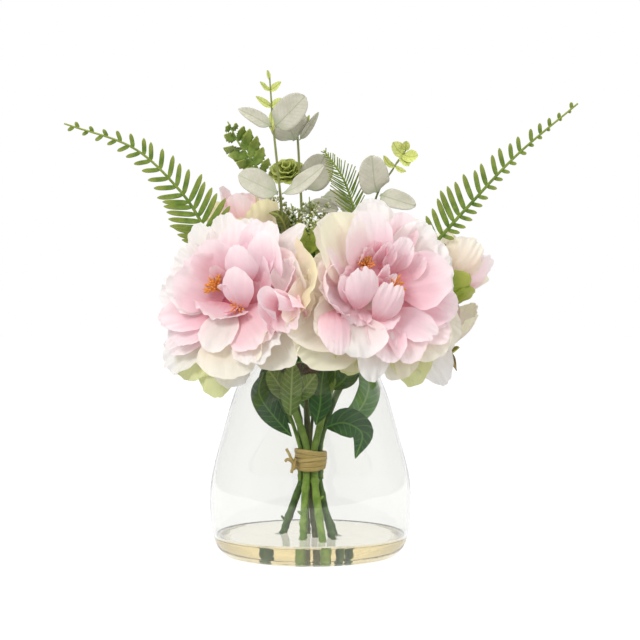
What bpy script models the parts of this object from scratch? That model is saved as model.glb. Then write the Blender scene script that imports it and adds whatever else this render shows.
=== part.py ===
"""An artificial peony arrangement standing in a clear glass vase.

Two open silk peonies, three buds, eucalyptus, fern fronds and filler sprigs are tied with raffia.
Their stems are cast into a disc of clear resin, which looks like water, at the bottom of the vase.
The origin is the middle of the vase's flat underside, +Z is up and -Y is the side that faces a viewer.
Every size below is in millimetres, and MM turns it into metres.
"""

import math
from dataclasses import dataclass

import bmesh
import bpy
from mathutils import Matrix, Vector

MM = 0.001
GAP = 0.35  # between pieces that touch

# ---- the vase and the resin, as (radius, height) of the outer wall
VASE_HEIGHT = 148.0
VASE_WALL = 2.4
VASE_FLOOR = 4.0
VASE_OUTLINE = ((65.4, 1.6), (70.0, 6.5), (73.4, 15.5), (75.0, 26.0), (75.6, 41.0),
                (74.8, 56.0), (69.8, 78.0), (59.4, 115.0), (52.6, 133.0), (47.0, 147.0))
VASE_FOOT_RADIUS = 60.0
VASE_SIDES = 36
WALL_HEIGHTS = (1.6, 6.5, 11.0, 15.5, 27.0, 41.0, 56.0, 70.0, 88.0, 110.0, 131.0, 147.0)
RESIN_TOP = 15.5
RESIN_EDGE = 66.6

# ---- the tied bundle of stems
TIE_LOW, TIE_HIGH = 64.0, 80.0
TIE_INNER, TIE_OUTER = 11.4, 12.9
RING_RADIUS = 6.4  # six thick stems around the one in the middle
OUTER_RADIUS = 9.4  # thin stems in the hollows between them
STEM_FOOT = 5.6
CUT_END = 56.0  # where the thin stems are trimmed, just under the tie

SHEET = 0.9  # thickness of a petal layer or a leaf
CALYX_THICKNESS = 1.6
COLLAR_HALF = 2.2  # from the middle of a twin leaf's collar to each blade


@dataclass(frozen=True)
class Finish:
    """One material: its colour as linear red, green and blue, its roughness and what it lets through."""

    name: str
    colour: tuple
    roughness: float
    clear: float = 0.0


GLASS = Finish("clear_glass", (0.93, 0.95, 0.95), 0.03, 1.0)
RESIN = Finish("set_resin", (0.95, 0.87, 0.66), 0.05, 1.0)
RAFFIA = Finish("raffia", (0.55, 0.38, 0.14), 0.75)
STEM_GREEN = Finish("stem_green", (0.10, 0.19, 0.04), 0.5)
LEAF_GREEN = Finish("leaf_green", (0.035, 0.13, 0.025), 0.5)
FERN_GREEN = Finish("fern_green", (0.16, 0.27, 0.04), 0.55)
SILVER_LEAF = Finish("silver_leaf", (0.50, 0.52, 0.42), 0.6)
FILLER_GREEN = Finish("filler_green", (0.20, 0.30, 0.05), 0.55)
PETAL_PINK = Finish("petal_pink", (0.80, 0.45, 0.52), 0.7)
PETAL_BLUSH = Finish("petal_blush", (0.86, 0.66, 0.66), 0.7)
PETAL_CREAM = Finish("petal_cream", (0.86, 0.78, 0.66), 0.7)
STAMEN_GOLD = Finish("stamen_gold", (0.80, 0.38, 0.05), 0.7)
CALYX_GREEN = Finish("calyx_green", (0.28, 0.33, 0.04), 0.5)


# ---------------------------------------------------------------- general helpers


def clear_scene():
    """Removes the objects that the file opened with."""
    for obj in list(bpy.data.objects):
        bpy.data.objects.remove(obj)


def material(finish):
    """The Blender material of a finish, made once."""
    found = bpy.data.materials.get(finish.name)
    if found:
        return found
    made = bpy.data.materials.new(finish.name)
    made.use_nodes = True
    shader = made.node_tree.nodes["Principled BSDF"]
    shader.inputs["Base Color"].default_value = (*finish.colour, 1.0)
    shader.inputs["Roughness"].default_value = finish.roughness
    shader.inputs["Metallic"].default_value = 0.0
    shader.inputs["Transmission Weight"].default_value = finish.clear
    return made


def add_object(name, data, finish):
    """Links an object and gives it its material."""
    obj = bpy.data.objects.new(name, data)
    bpy.context.scene.collection.objects.link(obj)
    data.materials.append(material(finish))
    return obj


def add_mesh(name, points, faces, finish, smooth=True):
    """An object from points in millimetres, with its faces turned to agree."""
    mesh = bpy.data.meshes.new(name)
    mesh.from_pydata([Vector(p) * MM for p in points], [], faces)
    work = bmesh.new()
    work.from_mesh(mesh)
    bmesh.ops.recalc_face_normals(work, faces=work.faces)
    work.to_mesh(mesh)
    work.free()
    if smooth:
        mesh.shade_smooth()
    return add_object(name, mesh, finish)


def thicken(obj, thickness):
    """Turns a sheet into a closed solid with the sheet in its middle."""
    solidify = obj.modifiers.new("thickness", "SOLIDIFY")
    solidify.thickness = thickness * MM
    solidify.offset = 0.0
    solidify.use_even_offset = False
    return obj


def smooth_line(points, count):
    """count + 1 points on a smooth curve through all of points, evenly spread in its parameter."""
    ends = [Vector(points[0]) * 2 - Vector(points[1]), Vector(points[-1]) * 2 - Vector(points[-2])]
    row = [ends[0], *map(Vector, points), ends[1]]
    spans = len(points) - 1
    line = []
    for step in range(count + 1):
        at = spans * step / count
        span = min(int(at), spans - 1)
        t = at - span
        before, start, end, after = row[span:span + 4]
        line.append(0.5 * (2 * start + (end - before) * t
                           + (2 * before - 5 * start + 4 * end - after) * t ** 2
                           + (3 * start - before - 3 * end + after) * t ** 3))
    return line


def basis_along(axis):
    """Two unit vectors square to axis and to each other, and axis itself. The second leans upwards."""
    ahead = Vector(axis).normalized()
    side = ahead.cross(Vector((0, 0, 1)))
    if side.length < 0.05:
        side = Vector((1, 0, 0))
    side.normalize()
    return side, side.cross(ahead).normalized(), ahead


def add_tube(name, points, radii, finish, count, sides=6):
    """A round stem through points, from radii[0] at its foot to radii[1] at its tip, with filled ends."""
    curve = bpy.data.curves.new(name, "CURVE")
    curve.dimensions = "3D"
    curve.bevel_depth = MM
    curve.bevel_resolution = (sides - 4) // 2
    curve.use_fill_caps = True
    line = smooth_line(points, count)
    spline = curve.splines.new("POLY")
    spline.points.add(len(line) - 1)
    for step, (knot, place) in enumerate(zip(spline.points, line)):
        knot.co = (*(place * MM), 1.0)
        knot.radius = radii[0] + (radii[1] - radii[0]) * step / count
    return add_object(name, curve, finish)


# ---------------------------------------------------------------- vase, resin and tie


def outer_radius(height):
    """The vase's outer radius at a height, on a smooth curve through its outline."""
    line = smooth_line([(r, z, 0) for r, z in VASE_OUTLINE], 90)
    for low, high in zip(line, line[1:]):
        if low.y <= height <= high.y:
            return low.x + (high.x - low.x) * (height - low.y) / (high.y - low.y)
    return line[0].x if height < line[0].y else line[-1].x


def turned(name, profile, finish, sides=VASE_SIDES):
    """A solid turned round Z from a profile that starts and ends on the axis, inside first."""
    mesh = bpy.data.meshes.new(name)
    mesh.from_pydata([Vector((r, 0, z)) * MM for r, z in profile],
                     [(i, i + 1) for i in range(len(profile) - 1)], [])
    obj = add_object(name, mesh, finish)
    screw = obj.modifiers.new("turn", "SCREW")
    screw.axis = "Z"
    screw.steps = screw.render_steps = sides
    screw.use_merge_vertices = True
    screw.merge_threshold = 0.00002
    screw.use_smooth_shade = True
    return obj


def build_vase():
    """The clear vase: widest low down, tapering to a round fire-polished rim."""
    inside = [(0.0, VASE_FLOOR), (61.6, VASE_FLOOR), (RESIN_EDGE, 6.4)]
    inside += [(outer_radius(z) - VASE_WALL, z) for z in WALL_HEIGHTS if z > 9.0]
    rim = [(46.3, VASE_HEIGHT), (45.3, VASE_HEIGHT)]
    outside = [(outer_radius(z), z) for z in reversed(WALL_HEIGHTS)]
    foot = [(VASE_FOOT_RADIUS + 2.6, 0.5), (VASE_FOOT_RADIUS, 0.0), (0.0, 0.0)]
    turned("glass_vase", inside + list(reversed(rim)) + outside + foot, GLASS)


def build_resin(stems):
    """The disc of set resin on the vase's floor, with a hole where each stem was cast in."""
    wall = [(outer_radius(z) - VASE_WALL - GAP, z) for z in (RESIN_TOP, 11.0)]
    profile = [(0.0, RESIN_TOP), *wall, (RESIN_EDGE - 1.2, 6.6 + GAP), (61.2, VASE_FLOOR + GAP),
               (0.0, VASE_FLOOR + GAP)]
    resin = turned("resin_water", profile, RESIN)
    for stem in stems:
        low = stem.foot_point(STEM_FOOT - 3 * GAP)
        high = stem.foot_point(RESIN_TOP + 8.0)
        cutter = add_tube("cutter_" + stem.name, [low, high], (stem.radius + GAP,) * 2, RESIN, 1, 8)
        shape = bpy.data.meshes.new_from_object(cutter.evaluated_get(bpy.context.evaluated_depsgraph_get()))
        bpy.data.objects.remove(cutter)
        cutter = add_object("cutter_" + stem.name, shape, RESIN)
        weld_points(shape)
        cutter.hide_render = True
        cutter.display_type = "WIRE"
        hole = resin.modifiers.new("hole_" + stem.name, "BOOLEAN")
        hole.operation = "DIFFERENCE"
        hole.object = cutter


def weld_points(mesh):
    """Joins the points where a tube's caps meet its sides, and turns its faces outwards."""
    work = bmesh.new()
    work.from_mesh(mesh)
    bmesh.ops.remove_doubles(work, verts=work.verts, dist=0.000001)
    bmesh.ops.recalc_face_normals(work, faces=work.faces)
    work.to_mesh(mesh)
    work.free()


def build_tie():
    """The raffia wound round the bundle, and the knot with its short tail at the front left."""
    middle = (TIE_LOW + TIE_HIGH) / 2
    half = (TIE_HIGH - TIE_LOW) / 2
    outline = [(TIE_INNER, half), (TIE_OUTER - 0.4, half), (TIE_OUTER, half - 2.0), (TIE_OUTER - 0.5, 0.0),
               (TIE_OUTER, 2.0 - half), (TIE_OUTER - 0.4, -half), (TIE_INNER, -half)]
    points, faces = [], []
    sides = 20
    for turn in range(sides):
        angle = math.tau * turn / sides
        points += [(r * math.cos(angle), r * math.sin(angle), middle + z) for r, z in outline]
    ring = len(outline)
    for turn in range(sides):
        here, there = turn * ring, (turn + 1) % sides * ring
        faces += [(here + i, here + (i + 1) % ring, there + (i + 1) % ring, there + i) for i in range(ring)]
    add_mesh("raffia_band", points, faces, RAFFIA)
    tail = [(-11.4, -9.4, 65.5), (-12.4, -9.6, 69.5), (-14.0, -10.0, 75.0), (-17.4, -10.4, 80.0)]
    add_tube("raffia_knot", tail, (1.7, 0.8), RAFFIA, 5)


# ---------------------------------------------------------------- stems


@dataclass(frozen=True)
class Stem:
    """A stem: its place in the tie, where its foot stands in the resin, and its way up from the tie.

    slot is the place's angle in degrees, or None for the middle. A thin stem has no foot.
    """

    name: str
    slot: float
    radius: float
    way_up: tuple
    tip_radius: float
    foot: tuple = None
    count: int = 11

    def tied_at(self):
        """X and Y of the stem inside the tie."""
        if self.slot is None:
            return 0.0, 0.0
        reach = RING_RADIUS if self.foot else OUTER_RADIUS
        angle = math.radians(self.slot)
        return reach * math.cos(angle), reach * math.sin(angle)

    def foot_point(self, height):
        """The stem's centre at a height below the tie, where it runs straight."""
        x, y = self.tied_at()
        low = TIE_LOW - 8.0
        share = (low - height) / (low - STEM_FOOT)
        return x + (self.foot[0] - x) * share, y + (self.foot[1] - y) * share, height

    def route(self):
        """All the points that the stem passes through, from its foot to its tip."""
        x, y = self.tied_at()
        if self.foot:
            below = [self.foot_point(STEM_FOOT), self.foot_point(30.0), self.foot_point(TIE_LOW - 8.0)]
        else:
            below = [(x, y, CUT_END)]
        return [*below, (x, y, TIE_LOW + 2.0), (x, y, TIE_HIGH + 2.0), *self.way_up]


STEMS = (
    Stem("stem_peony_left", 240, 2.9, ((-14, -8, 115), (-29, -2, 154), (-39, -4, 178)), 2.3, (-6, -23)),
    Stem("stem_peony_right", 300, 2.9, ((13, -8, 118), (27, -3, 160), (38, -6, 190)), 2.3, (10, -35)),
    Stem("stem_bud_low_right", 0, 2.6, ((20, -3, 120), (36, -1, 146), (58, 6, 158), (74, 13, 148), (85, 16, 144)),
         1.5, (18, -21), 15),
    Stem("stem_fern_right", 60, 2.2, ((14, 12, 122), (34, 18, 165), (62, 11, 203), (90, -5, 231)), 1.5, (22, -3)),
    Stem("stem_eucalyptus_back", 120, 2.2, ((-4, 17, 140), (-6, 26, 200), (-7, 29, 256), (-10, 30, 312),
                                            (-10.5, 30, 323)), 0.7, (-2, 10), 14),
    Stem("stem_bud_back_left", 180, 2.9, ((-13, 5, 125), (-25, 13, 168), (-40, 28, 204)), 1.8, (-24, 8)),
    Stem("stem_eucalyptus_tall", None, 2.4, ((-5, 7, 130), (-14, 13, 190), (-21, 14, 240), (-23, 14, 270),
                                             (-28, 14, 322), (-31, 14, 361)), 0.6, (4, -10), 15),
    Stem("stem_fern_left", 210, 1.4, ((-23, -1, 124), (-44, 6, 170), (-62, 4, 208), (-76.5, -3, 240.5)), 1.4),
    Stem("stem_leafy_sprig", 150, 1.3, ((-13, 17, 130), (-23, 34, 200), (-31, 39, 250), (-36, 32, 281)), 1.0),
    Stem("stem_eucalyptus_right", 90, 1.4, ((5, 22, 130), (22, 31, 190), (40, 27, 238), (51, 20, 272),
                                            (60, 20, 287), (74, 20, 307)), 0.6),
    Stem("stem_bud_right", 30, 1.5, ((17, 6, 115), (34, 10, 148), (58, 12, 168), (82, 6, 180), (94, -2, 187)),
         1.5, None, 13),
)


def build_stems():
    """Every stem, and the ones that reach the resin. A flower's stem ends just under its calyx."""
    held = {"stem_" + flower.name: flower for flower in FLOWERS}
    for stem in STEMS:
        route = stem.route()
        if stem.name in held:
            flower = held[stem.name]
            below = flower.calyx.height * flower.scale - CALYX_THICKNESS / 2 - GAP
            route += flower.placed([(0, 0, below - 5.0), (0, 0, below)])
        add_tube(stem.name, route, (stem.radius, stem.tip_radius), STEM_GREEN, stem.count)
    return [stem for stem in STEMS if stem.foot]


# ---------------------------------------------------------------- flowers


@dataclass(frozen=True)
class Layer:
    """One die-cut layer of petals, pressed into a cup.

    lean is the angle from the flower's axis at the petals' foot and at their edge, in degrees.
    notch is the share of the length that is cut away between two petals. droop is how much longer the
    petals on the flower's lower side are, as a share.
    """

    name: str
    height: float
    foot: float
    length: float
    lean: tuple
    petals: int
    notch: float
    finish: Finish
    turn: float = 0.0
    ruffle: float = 0.0
    droop: float = 0.0
    rings: int = 3
    around: int = 4


PEONY_LAYERS = (
    Layer("petals_heart", 9.0, 6.0, 22.0, (28, 4), 5, 0.35, PETAL_PINK, 10),
    Layer("petals_inner", 6.8, 8.0, 31.0, (52, 20), 6, 0.30, PETAL_PINK, 40),
    Layer("petals_middle", 4.6, 9.5, 40.0, (68, 42), 6, 0.30, PETAL_BLUSH, 0, 0.0, 0.06),
    Layer("petals_outer", 2.4, 10.5, 46.0, (84, 64), 7, 0.28, PETAL_BLUSH, 25, 0.0, 0.14),
    Layer("petals_collar", 0.2, 9.0, 50.0, (97, 88), 7, 0.30, PETAL_CREAM, 0, 0.0, 0.24),
)
PEONY_CALYX = Layer("calyx", -20.0, 3.4, 33.0, (32, 108), 5, 0.45, CALYX_GREEN)

BUD_LAYERS = (
    Layer("petals_inner", 3.2, 5.5, 30.0, (34, -22), 5, 0.25, PETAL_PINK, 20),
    Layer("petals_outer", 0.6, 8.0, 36.0, (62, -12), 5, 0.30, PETAL_CREAM, 55),
)
BUD_CALYX = Layer("calyx", -12.0, 3.2, 22.0, (62, 40), 5, 0.55, CALYX_GREEN)


def layer_sheet(layer, scale=1.0):
    """Points and faces of a cup with lobes, in the flower's own frame, with the axis along +Z."""
    around = layer.petals * layer.around
    points, faces = [(0.0, 0.0, layer.height * scale)], []
    first, last = map(math.radians, layer.lean)
    fine = 24
    for ring in range(layer.rings + 1):
        share = ring / layer.rings
        leans = [first + (last - first) * share * (i + 0.5) / fine for i in range(fine)]
        out = share * sum(map(math.sin, leans)) / fine
        up = share * sum(map(math.cos, leans)) / fine
        for step in range(around):
            angle = math.tau * step / around
            between = abs(math.cos(layer.petals * angle / 2)) ** 4
            turned_by = angle + math.radians(layer.turn)
            length = layer.length * (1 - layer.notch * between * share) * (1 - layer.droop * min(0, math.sin(turned_by)))
            reach = (layer.foot + length * out) * scale
            rise = (layer.height + length * up + layer.ruffle * share * math.cos(layer.petals * angle)) * scale
            points.append((reach * math.cos(turned_by), reach * math.sin(turned_by), rise))
    for step in range(around):
        after = (step + 1) % around
        faces.append((0, 1 + step, 1 + after))
        for ring in range(layer.rings):
            low, high = 1 + ring * around, 1 + (ring + 1) * around
            faces.append((low + step, high + step, high + after, low + after))
    return points, faces


@dataclass(frozen=True)
class Flower:
    """A flower: where its lowest layer of petals sits, where it faces and how big it is."""

    name: str
    centre: tuple
    axis: tuple
    layers: tuple
    calyx: Layer
    scale: float = 1.0

    def placed(self, points):
        """Points in the flower's own frame, moved to where the flower is."""
        side, up, ahead = basis_along(self.axis)
        turn = Matrix((side, up, ahead)).transposed()
        return [Vector(self.centre) + turn @ Vector(p) for p in points]

    def build(self):
        """One object for each layer of petals, and the calyx that holds them."""
        for layer in (*self.layers, self.calyx):
            points, faces = layer_sheet(layer, self.scale)
            thickness = SHEET if layer is not self.calyx else CALYX_THICKNESS
            thicken(add_mesh(f"{self.name}_{layer.name}", self.placed(points), faces, layer.finish), thickness)


FLOWERS = (
    Flower("peony_left", (-57, -31, 192), (-0.42, -0.86, 0.25), PEONY_LAYERS, PEONY_CALYX, 1.08),
    Flower("peony_right", (52, -38, 203), (0.35, -0.88, 0.20), PEONY_LAYERS, PEONY_CALYX, 1.1),
    Flower("bud_back_left", (-46, 25, 233), (-0.16, -0.25, 0.95), BUD_LAYERS, BUD_CALYX, 1.05),
    Flower("bud_right", (101, 6, 203), (0.32, 0.62, 0.71), BUD_LAYERS, BUD_CALYX, 0.95),
    Flower("bud_low_right", (93, 18, 162), (0.30, 0.10, 0.95), BUD_LAYERS, BUD_CALYX, 0.85),
)


def build_stamens(flower):
    """The tuft of golden stamens in the middle of an open peony, a cone that widens outwards."""
    low, high, thin, wide = (size * flower.scale for size in (10.4, 23.0, 2.0, 4.4))
    sides = 8
    points = [(0, 0, low), (0, 0, high + 1.5)]
    for reach, height in ((thin, low), (wide, high)):
        points += [(reach * math.cos(math.tau * i / sides), reach * math.sin(math.tau * i / sides), height)
                   for i in range(sides)]
    faces = []
    for i in range(sides):
        after = (i + 1) % sides
        faces += [(0, 2 + after, 2 + i), (1, 2 + sides + i, 2 + sides + after),
                  (2 + i, 2 + after, 2 + sides + after, 2 + sides + i)]
    add_mesh(f"{flower.name}_stamens", flower.placed(points), faces, STAMEN_GOLD)


# ---------------------------------------------------------------- leaves and sprigs


@dataclass(frozen=True)
class Leaf:
    """A leaf blade: the points that its midrib passes through, its width and the way its face looks."""

    name: str
    midrib: tuple
    width: float
    face: tuple
    finish: Finish = LEAF_GREEN
    fold: float = 0.15
    blunt: float = 0.5


def blade_width(share, blunt):
    """Half-width of a blade as a share of its greatest, from its foot at 0 to its tip at 1."""
    peak = 0.35 + 0.3 * blunt
    bend = share / peak if share < peak else (1 - share) / (1 - peak)
    return max(0.08, math.sin(min(1.0, bend) * math.pi / 2) ** (1.2 - 0.5 * blunt))


def blade_rows(leaf, count=7):
    """Rows of three points across the blade: one edge, the midrib and the other edge."""
    line = smooth_line(leaf.midrib, count)
    rows = []
    for step, place in enumerate(line):
        along = line[min(step + 1, count)] - line[max(step - 1, 0)]
        side = along.cross(Vector(leaf.face)).normalized()
        lift = side.cross(along).normalized()
        half = leaf.width / 2 * blade_width(step / count, leaf.blunt)
        rows.append([place + side * half + lift * half * leaf.fold, place,
                     place - side * half + lift * half * leaf.fold])
    return rows


def stitched(rows, start):
    """Faces between rows of points, counted from start."""
    wide = len(rows[0])
    return [(start + i * wide + j, start + i * wide + j + 1, start + (i + 1) * wide + j + 1, start + (i + 1) * wide + j)
            for i in range(len(rows) - 1) for j in range(wide - 1)]


def build_leaf(leaf):
    """A single blade with a fold along its midrib."""
    rows = blade_rows(leaf)
    points = [p for row in rows for p in row]
    thicken(add_mesh(leaf.name, points, stitched(rows, 0), leaf.finish), SHEET)


def build_pair(name, left, right, finish):
    """Two blades that share one foot, as one moulded piece that clips round its stem."""
    first, second = blade_rows(left, 6), blade_rows(right, 6)
    # The second blade's rows are turned round so that both blades' edges line up where they meet.
    rows = list(reversed(first)) + [list(reversed(row)) for row in second]
    points = [p for row in rows for p in row]
    thicken(add_mesh(name, points, stitched(rows, 0), finish), SHEET)


VASE_LEAVES = (
    Leaf("leaf_long_left", ((-14, -12, 90), (-28, -14, 106), (-38, -14, 122), (-35, -11, 138)), 17, (0.3, -1, 0.3)),
    Leaf("leaf_inner_left", ((-17, 3, 100), (-29, 3, 118), (-35, 6, 134), (-30, 6, 146)), 15, (0.1, -1, 0.1)),
    Leaf("leaf_curled_right", ((26, 5, 101), (40, 6, 112), (44, 8, 128), (36, 8, 141)), 14, (0.5, -1, 0.0)),
    Leaf("leaf_folded", ((11, -15, 97), (25, -22, 101), (38, -25, 93), (33, -26, 75)), 21, (0.0, -1, 0.35)),
    Leaf("leaf_middle", ((4, -16, 99), (7, -19, 113), (8, -19, 128), (10, -17, 141)), 17, (0.0, -1, 0.1)),
    Leaf("leaf_back_inside", ((2, 23, 100), (-2, 31, 118), (-4, 33, 132), (-3, 29, 145)), 20, (0.0, 1, 0.2)),
    Leaf("leaf_small_right", ((99, 17, 143), (101, 6, 149), (106, 3, 147), (110, 5, 138)), 8, (0.3, -1, 0.3), CALYX_GREEN),
    Leaf("leaf_top_left", ((-18, 4, 236), (-21, -3, 243), (-26, -6, 249), (-33, -8, 252)), 12, (0, -1, 0.4)),
    Leaf("leaf_rear", ((10, 44, 176), (16, 62, 190), (20, 76, 194), (22, 88, 188)), 32, (0, 0.3, 1)),
)


@dataclass(frozen=True)
class Pair:
    """A pair of eucalyptus leaves on one collar."""

    name: str
    left: tuple
    right: tuple
    widths: tuple
    faces: tuple


PAIRS = (
    Pair("eucalyptus_pair_low", ((-23.5, 9.5, 271), (-36, 7, 277), (-51, 5, 285)),
         ((-23.5, 9.5, 271), (-12, 6, 273), (4, 2, 283)), (25, 12), ((0.1, -1, 0.35), (0.2, -0.5, 0.9))),
    Pair("eucalyptus_pair_high", ((-28, 10.6, 321), (-38, 8, 326), (-53, 6, 334)),
         ((-28, 10.6, 321), (-20, 8, 329), (-2, 4, 343)), (13, 24), ((0.2, -1, 0.6), (-0.2, -1, 0.1))),
    Pair("eucalyptus_pair_back", ((-10, 26.6, 311), (-17, 24, 317), (-30, 21, 327)),
         ((-10, 26.6, 311), (-5, 25, 317), (4, 24, 330)), (23, 7), ((0.0, -1, 0.2), (0.3, -1, 0.3))),
    Pair("eucalyptus_pair_middle", ((-7, 34.6, 274), (-14, 44, 278), (-22, 56, 286)),
         ((-7, 34.6, 274), (2, 36, 280), (16, 40, 295)), (16, 24), ((0.3, 0.3, 1), (0.0, -1, 0.2))),
    Pair("eucalyptus_pair_right", ((51, 16.6, 271), (48, 14, 280), (46, 12, 302)),
         ((51, 16.6, 271), (57, 14, 267), (78, 10, 262)), (24, 14), ((0.1, -1, 0.1), (0.0, -1, 0.5))),
)


@dataclass(frozen=True)
class Frond:
    """A flat moulded sprig: a rib with narrow leaflets on both sides.

    reach is the leaflets' greatest length, lean their angle from the rib in degrees, and breadth a
    leaflet's width as a share of the distance from one to the next.
    """

    name: str
    rib: tuple
    face: tuple
    leaflets: int
    reach: float
    lean: float
    breadth: float
    rib_width: float
    finish: Finish
    lower_share: float = 1.0
    first: float = 0.6
    peak: float = 0.3


def leaflet_reach(frond, share):
    """How long the leaflets are at a share of the way up the rib."""
    if share < frond.peak:
        return frond.reach * (frond.first + (1 - frond.first) * share / frond.peak)
    return frond.reach * max(0.12, 1 - (share - frond.peak) / (1 - frond.peak)) ** 0.8


def build_frond(frond):
    """The rib is a narrow strip, and each leaflet grows from one of its short edges."""
    places = 2 * frond.leaflets + 1
    line = smooth_line(frond.rib, places)
    points, faces = [], []
    sides = []
    for step, place in enumerate(line):
        along = (line[min(step + 1, places)] - line[max(step - 1, 0)]).normalized()
        side = along.cross(Vector(frond.face)).normalized()
        half = frond.rib_width / 2 * (1 - 0.6 * step / places)
        points += [place + side * half, place - side * half]
        sides.append((along, side))
    faces += [(2 * i, 2 * i + 1, 2 * i + 3, 2 * i + 2) for i in range(places)]
    for leaflet in range(frond.leaflets):
        step = 2 * leaflet + 1
        along, side = sides[step]
        spacing = (line[step + 1] - line[step - 1]).length
        for hand, edge in ((1, 0), (-1, 1)):
            reach = leaflet_reach(frond, step / places) * (1.0 if hand > 0 else frond.lower_share)
            lean = math.radians(frond.lean)
            out = side * hand * math.sin(lean) + along * math.cos(lean)
            root_low, root_high = 2 * step + edge, 2 * (step + 1) + edge
            root = (points[root_low] + points[root_high]) / 2
            across = (out.cross(Vector(frond.face))).normalized() * -hand
            before = (root_low, root_high)
            for share, wide in ((0.25, 0.8), (0.65, 1.0), (1.0, 0.25)):
                middle = root + out * reach * share
                half = frond.breadth * spacing / 2 * wide
                points += [middle - across * half, middle + across * half]
                now = (len(points) - 2, len(points) - 1)
                faces.append((before[0], before[1], now[1], now[0]))
                before = now
    thicken(add_mesh(frond.name, points, faces, frond.finish), SHEET)


FRONDS = (
    Frond("fern_frond_left", ((-77.2, -3.2, 242), (-98, -5, 274), (-132, -6, 305), (-183, -7, 323)),
          (0, -1, 0), 16, 29, 62, 0.52, 2.4, FERN_GREEN, 0.95, 0.75, 0.2),
    Frond("fern_frond_right", ((92, -5.6, 233), (118, -6, 262), (154, -5, 300), (199, -4, 338)),
          (0, -1, 0), 16, 27, 62, 0.52, 2.4, FERN_GREEN, 0.5, 0.75, 0.2),
    Frond("leafy_sprig", ((-36.6, 31, 284), (-43, 29, 296), (-55, 28, 310), (-66, 27, 327)),
          (0.2, -1, 0.1), 5, 15, 60, 0.85, 1.8, FILLER_GREEN, 1.0, 0.7, 0.4),
    Frond("needle_sprig", ((36, 15, 240), (32, 17, 262), (24, 18, 284), (10, 19, 304)),
          (0.1, -1, 0.0), 13, 21, 50, 0.35, 2.0, FERN_GREEN, 1.0, 0.5, 0.4),
)


def build_whorl():
    """The whorl of three pale leaves on the left peony's stem, which shows through the front of the vase."""
    lobes = (((-16, -17, 122), (-23, -19, 129), (-30, -17, 137)), ((-14, -19, 124), (-14, -22, 132), (-14, -21, 142)),
             ((-12, -18, 122), (-5, -22, 127), (1, -24, 134)))
    points, faces = [], []
    roots = []
    for lobe in lobes:
        rows = blade_rows(Leaf("", lobe, 11, (0, -1, 0.2)), 4)
        start = len(points)
        points += [p for row in rows for p in row]
        faces += stitched(rows, start)
        roots.append(start)
    # The lobes' feet are joined to their neighbours by a short web.
    for here, there in zip(roots, roots[1:]):
        faces.append((here, there + 2, there + 5, here + 3))
    thicken(add_mesh("leaf_whorl_front", points, faces, CALYX_GREEN), SHEET)


def build_berries():
    """The sprig of small waxy berries: a skin over a branching skeleton, thick where a berry sits."""
    root = Vector((1, 17, 226))
    points, edges, radii = [root], [], [1.1]
    spine = 0
    for fork in range(4):
        points.append(root + Vector((-0.5 * fork, 0.4 * fork, 12.0 + 9.5 * fork)))
        radii.append(1.0)
        edges.append((spine, len(points) - 1))
        spine = len(points) - 1
        for hand in (0, 1):
            angle = math.radians(20 + 90 * fork + 180 * hand)
            out = Vector((math.cos(angle), 0.7 * math.sin(angle), 0.5))
            foot = spine
            for reach, radius in ((4.5, 0.8), (8.0 - fork, 1.0), (11.5 - fork, 2.3)):
                points.append(points[spine] + out * reach)
                radii.append(radius)
                edges.append((foot, len(points) - 1))
                foot = len(points) - 1
    mesh = bpy.data.meshes.new("berry_sprig")
    mesh.from_pydata([p * MM for p in points], edges, [])
    obj = add_object("berry_sprig", mesh, FILLER_GREEN)
    skin = obj.modifiers.new("skin", "SKIN")
    skin.use_smooth_shade = True
    for vertex, radius in zip(mesh.skin_vertices[0].data, radii):
        vertex.radius = (radius * MM, radius * MM)
    mesh.skin_vertices[0].data[0].use_root = True


ROSETTE = Flower("filler", (-19, 49, 288), (-0.1, -0.35, 0.93),
                 (Layer("rosette", 0.0, 2.0, 20.0, (50, 42), 7, 0.3, FILLER_GREEN, 0, 1.2, 0.0, 3, 3),), None)


def build_rosette():
    """The ruffled green rosette behind the eucalyptus."""
    layer = ROSETTE.layers[0]
    points, faces = layer_sheet(layer)
    thicken(add_mesh("green_rosette", ROSETTE.placed(points), faces, layer.finish), 1.4)


def main():
    """Builds the arrangement from the vase up."""
    clear_scene()
    build_vase()
    build_tie()
    build_resin(build_stems())
    for flower in FLOWERS:
        flower.build()
    for flower in FLOWERS[:2]:
        build_stamens(flower)
    for leaf in VASE_LEAVES:
        build_leaf(leaf)
    for pair in PAIRS:
        blades = []
        for line, width, face in zip((pair.left, pair.right), pair.widths, pair.faces):
            foot, rest = Vector(line[0]), line[1:]
            foot += (Vector(rest[0]) - foot).normalized() * COLLAR_HALF
            blades.append(Leaf("", (foot, *rest), width, face, SILVER_LEAF, 0.1, 0.9))
        build_pair(pair.name, *blades, SILVER_LEAF)
    for frond in FRONDS:
        build_frond(frond)
    build_whorl()
    build_berries()
    build_rosette()


main()
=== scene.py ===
"""Silk peonies, buds and greenery in a clear glass vase: the looks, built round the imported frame.

Every size is in millimetres unless a name says otherwise, and MM turns it into metres.
A flower is made in its own frame: X to the viewer's right, Y up and Z out of its middle.
"""

import logging
import math
from dataclasses import dataclass, field
from enum import Enum
from typing import Any, Iterable, Iterator, Sequence

import bpy
from mathutils import Matrix, Vector, noise


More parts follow.
